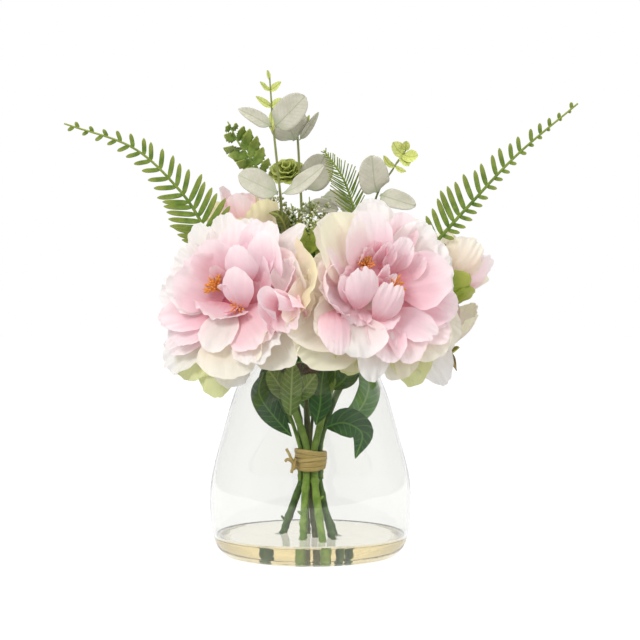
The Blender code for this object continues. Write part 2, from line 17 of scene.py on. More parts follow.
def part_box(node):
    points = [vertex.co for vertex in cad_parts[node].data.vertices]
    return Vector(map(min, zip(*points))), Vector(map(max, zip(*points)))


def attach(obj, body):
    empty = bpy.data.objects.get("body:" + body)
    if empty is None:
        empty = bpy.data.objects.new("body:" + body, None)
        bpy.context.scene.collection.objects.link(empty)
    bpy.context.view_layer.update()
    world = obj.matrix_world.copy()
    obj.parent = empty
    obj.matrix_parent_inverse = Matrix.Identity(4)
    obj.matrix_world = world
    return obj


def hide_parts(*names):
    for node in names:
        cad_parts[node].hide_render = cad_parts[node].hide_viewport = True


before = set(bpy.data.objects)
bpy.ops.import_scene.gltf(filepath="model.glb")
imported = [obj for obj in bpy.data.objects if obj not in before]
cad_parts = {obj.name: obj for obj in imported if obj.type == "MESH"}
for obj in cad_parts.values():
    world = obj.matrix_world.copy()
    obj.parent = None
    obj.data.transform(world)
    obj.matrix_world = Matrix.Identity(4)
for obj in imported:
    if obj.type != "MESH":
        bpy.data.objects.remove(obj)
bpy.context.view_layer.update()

MM = 0.001
BODY = "root"

log = logging.getLogger("peonies")

Point = tuple[float, float, float]
Rows = list[list[Vector]]
Marks = list[list[tuple[float, float, float, float]]]

DYE_STEP = 0.37  # what tells one petal's dye from the next one's
GRAIN_STEP = 13.7  # how far the grain moves on from one petal to the next
ON_AXIS = 0.02  # a turned profile starts and ends this near its axis
GOLDEN_ANGLE = 2.39996  # radians between one stamen and the next


# ---------------- small helpers


def linear(code: str) -> tuple[float, float, float, float]:
    """Turns an sRGB colour code into linear light.

    Args:
        code: the colour as "#RRGGBB".

    Returns:
        Red, green, blue and an alpha of 1.
    """
    parts = [int(code[i:i + 2], 16) / 255 for i in (1, 3, 5)]
    return (*((c / 12.92 if c <= 0.04045 else ((c + 0.055) / 1.055) ** 2.4) for c in parts), 1.0)


def add_node(tree: bpy.types.NodeTree, kind: str, settings: dict[Any, Any] | None = None,
             wires: dict[Any, bpy.types.NodeSocket | bpy.types.Node] | None = None) -> bpy.types.Node:
    """Adds a node with its settings and links.

    Args:
        tree: the node tree that it joins.
        kind: the shader node's type, such as "Math".
        settings: values by property name, or by the name or number of an input.
        wires: what feeds the inputs, by name or number. A node stands for its first output.

    Returns:
        The new node.
    """
    node = tree.nodes.new("ShaderNode" + kind)
    for key, value in (settings or {}).items():
        if isinstance(key, str) and hasattr(node, key):
            setattr(node, key, value)
        else:
            node.inputs[key].default_value = value
    for key, source in (wires or {}).items():
        socket = source.outputs[0] if isinstance(source, bpy.types.Node) else source
        tree.links.new(socket, node.inputs[key])
    return node


def smooth_line(points: Sequence[Point], count: int) -> list[Vector]:
    """Reads a smooth curve that passes through every point.

    Args:
        points: what the curve passes through.
        count: how many steps to take along it.

    Returns:
        count + 1 points, evenly spread in the curve's parameter.
    """
    row = [Vector(points[0]) * 2 - Vector(points[1]), *map(Vector, points),
           Vector(points[-1]) * 2 - Vector(points[-2])]
    spans = len(points) - 1
    line = []
    for step in range(count + 1):
        at = spans * step / count
        span = min(int(at), spans - 1)
        t = at - span
        before, start, end, after = row[span:span + 4]
        line.append(0.5 * (2 * start + (end - before) * t + (2 * before - 5 * start + 4 * end - after) * t ** 2
                           + (3 * start - before - 3 * end + after) * t ** 3))
    return line


def wobble(*place: float) -> float:
    """Smooth noise from -1 to 1 that is the same on every run."""
    return noise.noise(Vector((*place, 0.0, 0.0)[:3]))


def walk(line: Sequence[Vector]) -> Iterator[tuple[Vector, Vector, float]]:
    """Steps along a line.

    Args:
        line: the line's points.

    Yields:
        Each point, the way that the line runs there, and how far along it the point is.
    """
    reach = 0.0
    for i, place in enumerate(line):
        if i:
            reach += (place - line[i - 1]).length
        yield place, line[min(i + 1, len(line) - 1)] - line[max(i - 1, 0)], reach


# ---------------- finishes


@dataclass(frozen=True)
class Finish:
    """What a surface is made of. The name says the material and how it was made."""

    name: str

    def material(self) -> bpy.types.Material:
        """Gives the Blender material, made the first time it is asked for.

        Returns:
            The material.
        """
        found = bpy.data.materials.get(self.name)
        if found:
            return found
        made = bpy.data.materials.new(self.name)
        made.use_nodes = True
        tree = made.node_tree
        tree.nodes.clear()
        output = add_node(tree, "OutputMaterial")
        shader = self.paint(tree, output)
        tree.links.new(shader.outputs[0], output.inputs["Surface"])
        return made

    def paint(self, tree: bpy.types.NodeTree, output: bpy.types.Node) -> bpy.types.Node:
        """Builds the surface.

        Args:
            tree: the material's empty node tree.
            output: its output node, for finishes that also fill a volume.

        Returns:
            The node whose first output is the surface.
        """
        raise NotImplementedError


@dataclass(frozen=True)
class PetalSilk(Finish):
    """Polyester petal cloth, die-cut, dip-dyed and heat-pressed: soft sheen, streaky dye, light comes through."""

    # the colour at the petal's foot: its dye, and also painted shade where the petals overlap
    foot: str
    middle: str
    rim: str
    glow: float = 0.4  # the share of light that comes through the cloth
    streak: float = 1.5  # the pressed veins are about 0.6 mm apart: drawn wider, or they would not show
    streak_length: float = 22.0
    weave: float = 0.9  # the threads are 0.2 mm apart: drawn coarser, or they would not show
    crease: tuple[float, float] = (6.0, 17.0)  # width and length of what the hot press leaves
    clouds: float = 0.09  # uneven dye, in patches about 11 mm across

    def paint(self, tree: bpy.types.NodeTree, output: bpy.types.Node) -> bpy.types.Node:
        """Dye that is strongest at the foot, runs out in streaks and leaves the rim pale. The deeper colour at the
        foot is partly the cloth's dye and partly painted shade where the petals overlap each other's feet.

        Args:
            tree: the material's empty node tree.
            output: its output node.

        Returns:
            The node whose first output is the surface.
        """
        place = add_node(tree, "SeparateXYZ", None,
                         {0: add_node(tree, "Attribute", {"attribute_name": "dye_at"}).outputs["Vector"]})
        grain = add_node(tree, "Attribute", {"attribute_name": "grain_at"}).outputs["Vector"]
        veins = add_node(tree, "TexNoise", {"Scale": 1.0, "Detail": 3.0, "Roughness": 0.6},
                         {"Vector": add_node(tree, "Mapping",
                                             {"Scale": (1 / self.streak, 1 / self.streak_length, 1.0)},
                                             {"Vector": grain})})
        clouds = add_node(tree, "TexNoise", {"Scale": self.clouds, "Detail": 2.0}, {"Vector": grain})
        threads = add_node(tree, "TexNoise", {"Scale": 1 / self.weave, "Detail": 1.0}, {"Vector": grain})
        creases = add_node(tree, "TexNoise", {"Scale": 1.0, "Detail": 2.0, "Roughness": 0.45},
                           {"Vector": add_node(tree, "Mapping",
                                               {"Scale": (1 / self.crease[0], 1 / self.crease[1], 1.0)},
                                               {"Vector": grain})})
        run = add_node(tree, "Math", {"operation": "MULTIPLY_ADD", 1: 0.22, 2: -0.11}, {0: veins})
        cloud = add_node(tree, "Math", {"operation": "MULTIPLY_ADD", 1: 0.4, 2: -0.2}, {0: clouds})
        shift = add_node(tree, "Math", {"operation": "ADD"}, {0: run, 1: cloud})
        reach = add_node(tree, "Math", {"operation": "ADD"}, {0: place.outputs["X"], 1: shift})
        dye = add_node(tree, "ValToRGB", None, {"Fac": reach})
        dye.color_ramp.interpolation = "EASE"
        # the foot's deeper colour: dye, and painted shade where the petals overlap
        dye.color_ramp.elements[0].color = linear(self.foot)
        dye.color_ramp.elements[1].position, dye.color_ramp.elements[1].color = 0.98, linear(self.rim)
        dye.color_ramp.elements.new(0.46).color = linear(self.middle)
        edge = add_node(tree, "Math", {"operation": "MULTIPLY", 1: 0.75}, {0: place.outputs["Y"]})
        colour = add_node(tree, "Mix", {"data_type": "RGBA", 7: linear(self.rim)}, {0: edge, 6: dye.outputs["Color"]})
        relief = add_node(tree, "Math", {"operation": "MULTIPLY_ADD", 1: 0.25}, {0: threads, 2: veins})
        pressed = add_node(tree, "Math", {"operation": "MULTIPLY_ADD", 1: 4.0}, {0: creases, 2: relief})
        bump = add_node(tree, "Bump", {"Strength": 0.4, "Distance": 0.0006}, {"Height": pressed})
        cloth = add_node(tree, "BsdfPrincipled",
                         {"Roughness": 0.72, "Specular IOR Level": 0.25, "Sheen Weight": 0.3, "Sheen Roughness": 0.5},
                         {"Base Color": colour.outputs[2], "Normal": bump})
        through = add_node(tree, "BsdfTranslucent", None, {"Color": colour.outputs[2]})
        return add_node(tree, "MixShader", {0: self.glow}, {1: cloth, 2: through})


@dataclass(frozen=True)
class LeafCloth(Finish):
    """Leaf cloth, screen-printed and pressed: an even colour with a paler midrib and slanting veins."""

    blade: str
    mottle: str
    vein: str
    spacing: float = 5.0
    vein_width: float = 0.16
    midrib: float = 0.5
    roughness: float = 0.5
    foot: str = ""

    def paint(self, tree: bpy.types.NodeTree, output: bpy.types.Node) -> bpy.types.Node:
        """Mottled print, with the midrib and the side veins paler and slightly raised.

        Args:
            tree: the material's empty node tree.
            output: its output node.

        Returns:
            The node whose first output is the surface.
        """
        grain = add_node(tree, "Attribute", {"attribute_name": "grain_at"}).outputs["Vector"]
        parts = add_node(tree, "SeparateXYZ", None, {0: grain})
        off = add_node(tree, "Math", {"operation": "ABSOLUTE"}, {0: parts.outputs["X"]})
        slant = add_node(tree, "Math", {"operation": "MULTIPLY_ADD", 1: -0.8}, {0: off, 2: parts.outputs["Y"]})
        saw = add_node(tree, "Math", {"operation": "PINGPONG", 1: 0.5},
                       {0: add_node(tree, "Math", {"operation": "DIVIDE", 1: self.spacing}, {0: slant})})
        side = add_node(tree, "MapRange", {"From Min": self.vein_width, "From Max": 0.02, "To Max": 0.6},
                        {"Value": saw})
        rib = add_node(tree, "MapRange", {"From Min": self.midrib * 2, "From Max": self.midrib * 0.6}, {"Value": off})
        veins = add_node(tree, "Math", {"operation": "MAXIMUM"}, {0: side, 1: rib})
        spots = add_node(tree, "TexNoise", {"Scale": 0.16, "Detail": 4.0, "Roughness": 0.65}, {"Vector": grain})
        patch = add_node(tree, "MapRange", {"From Min": 0.35, "From Max": 0.68}, {"Value": spots})
        printed = add_node(tree, "Mix", {"data_type": "RGBA", 6: linear(self.blade), 7: linear(self.mottle)},
                           {0: patch})
        colour = add_node(tree, "Mix", {"data_type": "RGBA", 7: linear(self.vein)}, {0: veins, 6: printed.outputs[2]})
        bump = add_node(tree, "Bump", {"Strength": 0.5, "Distance": 0.0005}, {"Height": veins})
        if self.foot:
            place = add_node(tree, "SeparateXYZ", None,
                             {0: add_node(tree, "Attribute", {"attribute_name": "dye_at"}).outputs["Vector"]})
            near = add_node(tree, "MapRange", {"From Max": 0.42, "To Min": 0.85, "To Max": 0.0},
                            {"Value": place.outputs["X"]})
            spread = add_node(tree, "Math", {"operation": "MULTIPLY"}, {0: near, 1: spots})
            colour = add_node(tree, "Mix", {"data_type": "RGBA", 7: linear(self.foot)},
                              {0: spread, 6: colour.outputs[2]})
        return add_node(tree, "BsdfPrincipled",
                        {"Roughness": self.roughness, "Specular IOR Level": 0.4, "Sheen Weight": 0.1},
                        {"Base Color": colour.outputs[2], "Normal": bump})


@dataclass(frozen=True)
class MouldedGreen(Finish):
    """Polyethylene, injection-moulded and airbrushed: satin, with soft patches where the brush lingered."""

    body: str
    brushed: str
    tip: str
    patch: float = 6.0
    roughness: float = 0.5

    def paint(self, tree: bpy.types.NodeTree, output: bpy.types.Node) -> bpy.types.Node:
        """Two greens in soft patches, and a third towards each tip.

        Args:
            tree: the material's empty node tree.
            output: its output node.

        Returns:
            The node whose first output is the surface.
        """
        place = add_node(tree, "SeparateXYZ", None,
                         {0: add_node(tree, "Attribute", {"attribute_name": "dye_at"}).outputs["Vector"]})
        grain = add_node(tree, "Attribute", {"attribute_name": "grain_at"}).outputs["Vector"]
        soft = add_node(tree, "TexNoise", {"Scale": 1 / self.patch, "Detail": 3.0}, {"Vector": grain})
        spread = add_node(tree, "MapRange", {"From Min": 0.36, "From Max": 0.64}, {"Value": soft})
        body = add_node(tree, "Mix", {"data_type": "RGBA", 6: linear(self.body), 7: linear(self.brushed)},
                        {0: spread})
        towards = add_node(tree, "MapRange", {"From Min": 0.45, "From Max": 1.0, "To Max": 0.85},
                           {"Value": place.outputs["X"]})
        colour = add_node(tree, "Mix", {"data_type": "RGBA", 7: linear(self.tip)}, {0: towards, 6: body.outputs[2]})
        pores = add_node(tree, "TexNoise", {"Scale": 0.7, "Detail": 2.0}, {"Vector": grain})
        bump = add_node(tree, "Bump", {"Strength": 0.3, "Distance": 0.0004}, {"Height": pores})
        return add_node(tree, "BsdfPrincipled", {"Roughness": self.roughness, "IOR": 1.5, "Specular IOR Level": 0.45},
                        {"Base Color": colour.outputs[2], "Normal": bump})


@dataclass(frozen=True)
class RaffiaStrip(Finish):
    """Raffia, split and dried: long fibres, straw-coloured, dull."""

    fibre: str
    shade: str
    fibre_width: float = 0.4
    fibre_length: float = 25.0

    def paint(self, tree: bpy.types.NodeTree, output: bpy.types.Node) -> bpy.types.Node:
        """Fibres that run the length of the strip.

        Args:
            tree: the material's empty node tree.
            output: its output node.

        Returns:
            The node whose first output is the surface.
        """
        grain = add_node(tree, "Attribute", {"attribute_name": "grain_at"}).outputs["Vector"]
        fibres = add_node(tree, "TexNoise", {"Scale": 1.0, "Detail": 4.0, "Roughness": 0.6},
                          {"Vector": add_node(tree, "Mapping",
                                              {"Scale": (1 / self.fibre_width, 1 / self.fibre_length, 1.0)},
                                              {"Vector": grain})})
        spread = add_node(tree, "MapRange", {"From Min": 0.3, "From Max": 0.7}, {"Value": fibres})
        colour = add_node(tree, "Mix", {"data_type": "RGBA", 6: linear(self.shade), 7: linear(self.fibre)},
                          {0: spread})
        bump = add_node(tree, "Bump", {"Strength": 0.6, "Distance": 0.0004}, {"Height": fibres})
        return add_node(tree, "BsdfPrincipled", {"Roughness": 0.62, "Sheen Weight": 0.15},
                        {"Base Color": colour.outputs[2], "Normal": bump})


@dataclass(frozen=True)
class BlownGlass(Finish):
    """Soda-lime glass, blown into a mould: clear, with a faintly uneven wall. Lamps shine through it."""

    tint: str

    def paint(self, tree: bpy.types.NodeTree, output: bpy.types.Node) -> bpy.types.Node:
        """Smooth glass that casts next to no shadow.

        Args:
            tree: the material's empty node tree.
            output: its output node.

        Returns:
            The node whose first output is the surface.
        """
        waves = add_node(tree, "TexNoise", {"Scale": 28.0, "Detail": 1.0},
                         {"Vector": add_node(tree, "TexCoord").outputs["Object"]})
        bump = add_node(tree, "Bump", {"Strength": 0.12, "Distance": 0.001}, {"Height": waves})
        glass = add_node(tree, "BsdfPrincipled",
                         {"Base Color": linear(self.tint), "Roughness": 0.0, "IOR": 1.5, "Transmission Weight": 1.0},
                         {"Normal": bump})
        return let_lamps_through(tree, glass, "#F6F8F6")


@dataclass(frozen=True)
class CastResin(Finish):
    """Two-part clear resin, poured and set: glass-smooth, and straw-yellow only where one looks a long way in."""

    tint: str
    depth: str
    density: float

    def paint(self, tree: bpy.types.NodeTree, output: bpy.types.Node) -> bpy.types.Node:
        """Clear surface over a volume that takes a little blue out of the light.

        Args:
            tree: the material's empty node tree.
            output: its output node.

        Returns:
            The node whose first output is the surface.
        """
        ripple = add_node(tree, "TexNoise", {"Scale": 60.0, "Detail": 2.0},
                          {"Vector": add_node(tree, "TexCoord").outputs["Object"]})
        bump = add_node(tree, "Bump", {"Strength": 0.25, "Distance": 0.0008}, {"Height": ripple})
        resin = add_node(tree, "BsdfPrincipled",
                         {"Base Color": linear(self.tint), "Roughness": 0.02, "IOR": 1.5, "Transmission Weight": 1.0,
                          "Specular IOR Level": 0.15}, {"Normal": bump})
        inside = add_node(tree, "VolumeAbsorption", {"Color": linear(self.depth), "Density": self.density})
        tree.links.new(inside.outputs[0], output.inputs["Volume"])
        return let_lamps_through(tree, resin, "#F4F0DC")


def let_lamps_through(tree: bpy.types.NodeTree, glass: bpy.types.Node, tint: str) -> bpy.types.Node:
    """Lets light fall through a clear surface onto what stands behind it.

    Args:
        tree: the material's node tree.
        glass: the shader of the clear surface.
        tint: the colour that the light takes on.

    Returns:
        A shader that is clear to lamps and to scattered light, and glass to the eye.
    """
    path = add_node(tree, "LightPath")
    either = add_node(tree, "Math", {"operation": "MAXIMUM"},
                      {0: path.outputs["Is Shadow Ray"], 1: path.outputs["Is Diffuse Ray"]})
    clear = add_node(tree, "BsdfTransparent", {"Color": linear(tint)})
    return add_node(tree, "MixShader", None, {0: either, 1: glass, 2: clear})


@dataclass(frozen=True)
class OpalSheet(Finish):
    """Opal acrylic sheet, cast and lit from below: an even white that swallows every shadow."""

    lit: float
    bounce: float

    def paint(self, tree: bpy.types.NodeTree, output: bpy.types.Node) -> bpy.types.Node:
        """White light that is weaker where it falls on the flowers, over a matt surface.

        Args:
            tree: the material's empty node tree.
            output: its output node.

        Returns:
            The node whose first output is the surface.
        """
        path = add_node(tree, "LightPath")
        level = add_node(tree, "MapRange", {"To Min": self.lit, "To Max": self.bounce},
                         {"Value": path.outputs["Is Diffuse Ray"]})
        light = add_node(tree, "Emission", None, {"Strength": level})
        matt = add_node(tree, "BsdfDiffuse", {"Color": (0.12, 0.12, 0.12, 1)})
        return add_node(tree, "AddShader", None, {0: matt, 1: light})


class Dye(Enum):
    """The petal cloths that the flowers are cut from."""

    ROSE = PetalSilk("polyester_petal_dyed_rose", "#F2AAB7", "#FBD7DF", "#FDEDF0")
    DEEP = PetalSilk("polyester_petal_dyed_deep_rose", "#D96C82", "#F2A6B6", "#FAD8DF", 0.3)
    BLUSH = PetalSilk("polyester_petal_dyed_blush", "#F4B7C2", "#FBE1E8", "#FCF3F4")
    WHITE = PetalSilk("polyester_petal_undyed_white", "#F3D6D4", "#F6EEEA", "#FAF7F5")
    CREAM = PetalSilk("polyester_petal_dyed_cream", "#EFD6BE", "#F6EBD9", "#FAF5E8")
    LIME = PetalSilk("polyester_petal_dyed_lime_cream", "#F3ECDA", "#EDEBCB", "#E2E5AC")
    BUTTER = PetalSilk("polyester_petal_dyed_butter", "#F6C6C4", "#F9EDD4", "#F6F1C6")
    IVORY = PetalSilk("polyester_petal_dyed_ivory", "#F6DAD2", "#F8F0E2", "#F6F2D9")


ROSE, DEEP, BLUSH, WHITE, CREAM, LIME, BUTTER, IVORY = Dye


LEAF_TOP = LeafCloth("polyester_leaf_printed_dark_green", "#1A4A0C", "#2A6012", "#5E8C34", 5.0, 0.12, 0.45, 0.42)
LEAF_UNDER = LeafCloth("polyester_leaf_printed_pale_underside", "#5A8A40", "#70A054", "#9ABA78")
LEAF_OLIVE = LeafCloth("polyester_leaf_printed_olive", "#5E7A2C", "#7A9446", "#A6B86C", 4.0)
LEAF_DULL = LeafCloth("polyester_leaf_printed_dull_olive", "#4E5820", "#6A7230", "#8E9248", 3.6)
LEAF_BROWN = LeafCloth("polyester_leaf_printed_dry_brown", "#5E5C28", "#7E6838", "#A08A50", 3.0)
# dark brown cloth for the scraps beside the whorl: painted shade standing for the deep shade there, not a dry leaf
LEAF_PAINTED_SHADE = LeafCloth("polyester_leaf_dark_brown_painted_shade", "#3C2618", "#5A3A2A", "#6E5440", 3.0)
SILVER_TOP = LeafCloth("polyester_leaf_chalky_silver_green", "#B6B3A1", "#C4C1B1", "#A9AD92", 3.4, 0.05, 0.35, 0.75,
                       "#5C8038")
SILVER_UNDER = LeafCloth("polyester_leaf_chalky_underside", "#A9A996", "#B8B8A6", "#9DA488", 3.4, 0.05, 0.35, 0.8,
                         "#5C8038")
TIP_LEAF = LeafCloth("polyester_leaf_printed_spring_green", "#BFC766", "#CFD388", "#A9B458", 3.0, 0.06, 0.25, 0.6)
FERN = MouldedGreen("polyethylene_fern_moulded_and_brushed", "#567222", "#778C36", "#939C46")
FILLER = MouldedGreen("polyethylene_filler_moulded", "#66802C", "#8A9E48", "#B4BE72", 4.0)
FILLER_DARK = MouldedGreen("polyethylene_filler_moulded_dark", "#5A7228", "#7E9440", "#A4B25C", 4.0)
ROSETTE = MouldedGreen("polyethylene_rosette_moulded", "#6E8028", "#92A03E", "#C2C870", 4.0)
BERRY = MouldedGreen("polyethylene_berry_moulded_waxy", "#C9CFA0", "#DEE0C2", "#EBEBD8", 2.5, 0.35)
STEM = MouldedGreen("polyethylene_stem_moulded_over_wire", "#6A8A2C", "#8DA84A", "#9CB25C", 7.0, 0.45)
STEM_DARK = MouldedGreen("polyethylene_stem_moulded_dark", "#3E5C22", "#5E7C38", "#6E8648", 6.0, 0.5)
STEM_OLIVE = MouldedGreen("polyethylene_stem_moulded_olive", "#5E6238", "#767A4C", "#8E9450", 8.0, 0.5)
CALYX = MouldedGreen("polyethylene_calyx_moulded", "#7E9422", "#98A836", "#BDBE5C", 5.0)
STAMEN = MouldedGreen("floss_stamen_dipped_golden", "#E0933A", "#EDB368", "#E8883C", 2.0, 0.8)
RAFFIA = RaffiaStrip("raffia_split_and_dried", "#E6CE8A", "#B08E46")
GLASS = BlownGlass("soda_lime_glass_mould_blown", "#F6F6F4")
RESIN = CastResin("clear_resin_poured", "#FFFEFA", "#FBE15E", 6.6)
TABLE = OpalSheet("opal_acrylic_sheet_lit_from_below", 0.97, 0.38)


# ---------------- meshes


@dataclass
class Sketch:
    """Gathers the surfaces of one piece, with what its finishes read: dye_at and grain_at.

    dye_at is the share of the way out from the foot, how near the rim is, and a number for the petal.
    grain_at is the place on the flat cloth in millimetres, moved on for each petal.
    """

    name: str
    points: list[Vector] = field(default_factory=list)
    faces: list[tuple[int, ...]] = field(default_factory=list)
    skins: list[int] = field(default_factory=list)
    dye_at: list[tuple[float, float, float]] = field(default_factory=list)
    grain_at: list[tuple[float, float, float]] = field(default_factory=list)
    finishes: list[Finish] = field(default_factory=list)
    surfaces: int = 0

    def add_points(self, rows: Rows, marks: Marks) -> int:
        """Adds points with their marks.

        Args:
            rows: the points, row by row.
            marks: what the finishes read at each point.

        Returns:
            The number of the first point.
        """
        start = len(self.points)
        self.surfaces += 1
        for row, row_marks in zip(rows, marks):
            for point, (out, rim, across, along) in zip(row, row_marks):
                self.points.append(point)
                self.dye_at.append((out, rim, self.surfaces * DYE_STEP))
                self.grain_at.append((across, along, self.surfaces * GRAIN_STEP))
        return start

    def add_faces(self, faces: Iterable[tuple[int, ...]], finish: Finish) -> None:
        """Adds faces in one finish.

        Args:
            faces: the numbers of each face's points.
            finish: what they are made of.
        """
        if finish not in self.finishes:
            self.finishes.append(finish)
        before = len(self.faces)
        self.faces.extend(faces)
        self.skins.extend([self.finishes.index(finish)] * (len(self.faces) - before))

    def sheet(self, rows: Rows, marks: Marks, finish: Finish, ring: bool = False) -> None:
        """Adds a sheet of four-sided faces.

        Args:
            rows: the sheet's points, row by row.
            marks: for each point, its share of the way out, its nearness to the rim and its place on
                the flat cloth across and along.
            finish: what it is made of.
            ring: whether each row closes on itself.
        """
        start, wide = self.add_points(rows, marks), len(rows[0])
        across = wide if ring else wide - 1
        self.add_faces([(start + i * wide + j, start + i * wide + (j + 1) % wide,
                         start + (i + 1) * wide + (j + 1) % wide, start + (i + 1) * wide + j)
                        for i in range(len(rows) - 1) for j in range(across)], finish)

    def closed_sheet(self, rows: Rows, marks: Marks, finish: Finish) -> None:
        """Adds a sheet that closes on itself all the way along, with a face over both ends.

        Args:
            rows: its rings of points.
            marks: what the finish reads at each point.
            finish: what it is made of.
        """
        start, sides = len(self.points), len(rows[0])
        self.sheet(rows, marks, finish, True)
        last = start + (len(rows) - 1) * sides
        self.add_faces([tuple(start + j for j in reversed(range(sides))), tuple(last + j for j in range(sides))],
                       finish)

    def tube(self, line: Sequence[Vector], radii: Sequence[float], finish: Finish, sides: int) -> None:
        """Adds a closed tube along a line.

        Args:
            line: its middle.
            radii: its radius at each point of the line.
            finish: what it is made of.
            sides: how many faces go round it.
        """
        rows, marks = [], []
        turns = [math.tau * j / sides for j in range(sides)]
        side = (line[1] - line[0]).normalized().orthogonal().normalized()
        for i, ((place, along, reach), radius) in enumerate(zip(walk(line), radii)):
            ahead = along.normalized()
            side = (side - ahead * side.dot(ahead)).normalized()
            other = ahead.cross(side)
            rows.append([place + (side * math.cos(a) + other * math.sin(a)) * radius for a in turns])
            marks.append([(i / (len(line) - 1), 0.0, a * radius, reach) for a in turns])
        self.closed_sheet(rows, marks, finish)

    def bead(self, middle: Vector, ahead: Vector, half: tuple[float, float], finish: Finish, sides: int) -> None:
        """Adds an egg-shaped bead.

        Args:
            middle: its centre.
            ahead: the direction of its long axis.
            half: half its length and half its width.
            finish: what it is made of.
            sides: how many faces go round it.
        """
        steps, least = 6, 0.06
        line = [middle - ahead * half[0] * math.cos(math.pi * i / steps) for i in range(steps + 1)]
        radii = [max(least, half[1] * math.sin(math.pi * i / steps)) for i in range(steps + 1)]
        self.tube(line, radii, finish, sides)

    def piece(self, node: str, thickness: float = 0.0, under: Finish | None = None) -> None:
        """Makes the object, and says which body carries it and which node it stands for.

        Args:
            node: the CAD node that it replaces.
            thickness: how thick its sheets are, or 0 for a plain sheet.
            under: what the underside of a thick sheet is made of, where it differs.
        """
        mesh = bpy.data.meshes.new(self.name)
        mesh.from_pydata([p * MM for p in self.points], [], self.faces)
        for finish in self.finishes + ([under] if under else []):
            mesh.materials.append(finish.material())
        mesh.polygons.foreach_set("material_index", self.skins)
        mesh.shade_smooth()
        for name, values in (("dye_at", self.dye_at), ("grain_at", self.grain_at)):
            made = mesh.attributes.new(name, "FLOAT_VECTOR", "POINT")
            made.data.foreach_set("vector", [c for value in values for c in value])
        obj = bpy.data.objects.new(self.name, mesh)
        bpy.context.scene.collection.objects.link(obj)
        if thickness:
            solidify = obj.modifiers.new("cloth", "SOLIDIFY")
            solidify.thickness, solidify.offset = thickness * MM, 0.0
            solidify.material_offset = len(self.finishes) if under else 0
        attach(obj, BODY)
        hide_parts(node)
        log.info("%s: %d faces, for %s", self.name, len(self.faces), node)


# ---------------- vase, resin and tie


@dataclass
class GlassVase:
    """The blown vase: widest low down, tapering to a fire-polished rim.

    rim_round is how tall the rim's rounding is, as a share of the wall, and wall_from is the height at
    which the inside begins to follow the outside.
    """

    outline: tuple[tuple[float, float], ...] = ((65.4, 1.6), (70.0, 6.5), (73.4, 15.5), (75.0, 26.0), (75.6, 41.0),
                                                (74.8, 56.0), (69.8, 78.0), (59.4, 115.0), (52.6, 133.0),
                                                (47.0, 147.0))
    wall: float = 2.4
    floor: float = 2.2
    rim_round: float = 0.42
    wall_from: float = 9.5
    sides: int = 144
    rings: int = 84

    def outer(self) -> list[tuple[float, float]]:
        """Gives radius and height of the outside, from the foot to the rim."""
        return [(p.x, p.y) for p in smooth_line([(r, z, 0.0) for r, z in self.outline], self.rings)]

    def inner_radius(self, height: float) -> float:
        """Measures the inside of the wall.

        Args:
            height: the height to measure at.

        Returns:
            The radius there.
        """
        line = self.outer()
        for low, high in zip(line, line[1:]):
            if low[1] <= height <= high[1]:
                return low[0] + (high[0] - low[0]) * (height - low[1]) / (high[1] - low[1]) - self.wall
        return line[0][0] - self.wall

    def profile(self) -> list[tuple[float, float]]:
        """Goes all the way round the wall, from the middle of the floor to the foot's middle.

        Returns:
            Radius and height of each point.
        """
        outer, floor = self.outer(), self.floor
        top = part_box("glass_vase")[1].z / MM
        shoulder = top - self.wall * self.rim_round
        # the floor turns up into the wall in a wide soft corner, and the foot is rounded underneath
        corner = [(ON_AXIS, floor), (30.0, floor), (54.0, floor), (60.6, floor + 0.15), (64.4, floor + 0.9),
                  (66.8, floor + 2.6)]
        inside = corner + [(r - self.wall, z) for r, z in outer if self.wall_from < z < shoulder]
        middle, steps = outer[-1][0] - self.wall / 2, 8
        rim = [(middle - self.wall / 2 * math.cos(a), shoulder + self.wall * self.rim_round * math.sin(a))
               for a in (math.pi * i / steps for i in range(steps + 1))]
        outside = [p for p in reversed(outer) if p[1] < shoulder]
        foot = [(64.2, 0.75), (62.6, 0.25), (60.6, 0.0), (40.0, 0.0), (ON_AXIS, 0.0)]
        return inside + rim + outside + foot

    def build(self) -> None:
        """Turns the profile round the axis."""
        sketch = Sketch("vase_glass")
        turn_profile(sketch, self.profile(), GLASS, self.sides)
        sketch.piece("glass_vase")


def turn_profile(sketch: Sketch, profile: Sequence[tuple[float, float]], finish: Finish, sides: int) -> None:
    """Turns a profile of radius and height round the upright axis and closes both ends.

    Args:
        sketch: what the surface is added to.
        profile: radius and height, from one end on the axis to the other.
        finish: what it is made of.
        sides: how many faces go round.
    """
    rows, marks, reach = [], [], 0.0
    turns = [-math.tau * j / sides for j in range(sides)]
    for i, (radius, height) in enumerate(profile):
        if i:
            reach += math.dist(profile[i - 1], (radius, height))
        rows.append([Vector((radius * math.cos(a), radius * math.sin(a), height)) for a in turns])
        marks.append([(0.0, 0.0, a * radius, reach) for a in turns])
    sketch.closed_sheet(rows, marks, finish)


@dataclass
class ResinPool:
    """The clear resin at the bottom, which passes for water. It wets the glass with a small meniscus."""

    vase: GlassVase
    overlap: float = 0.12  # it reaches into the glass this far, so that no air shows between them

    def build(self) -> None:
        """Turns the pool's profile, from the middle of its top down to the middle of its underside."""
        top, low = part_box("resin_water")[1].z / MM, self.vase.floor
        edge = self.vase.inner_radius(top) + self.overlap
        meniscus = [(ON_AXIS, top), (20.0, top), (40.0, top), (edge - 4.0, top + 0.02), (edge - 2.0, top + 0.15),
                    (edge - 0.8, top + 0.45), (edge, top + 1.0)]
        side = [(self.vase.inner_radius(z) + self.overlap, z) for z in (14.0, 12.5, 11.0, 9.6)]
        corner = [(66.9, low + 2.6), (64.5, low + 0.85), (60.6, low + 0.1)]
        bottom = [(radius, low - self.overlap / 2) for radius in (54.0, 30.0, ON_AXIS)]
        sketch = Sketch("resin_pool")
        turn_profile(sketch, meniscus + side + corner + bottom, RESIN, 128)
        sketch.piece("resin_water")


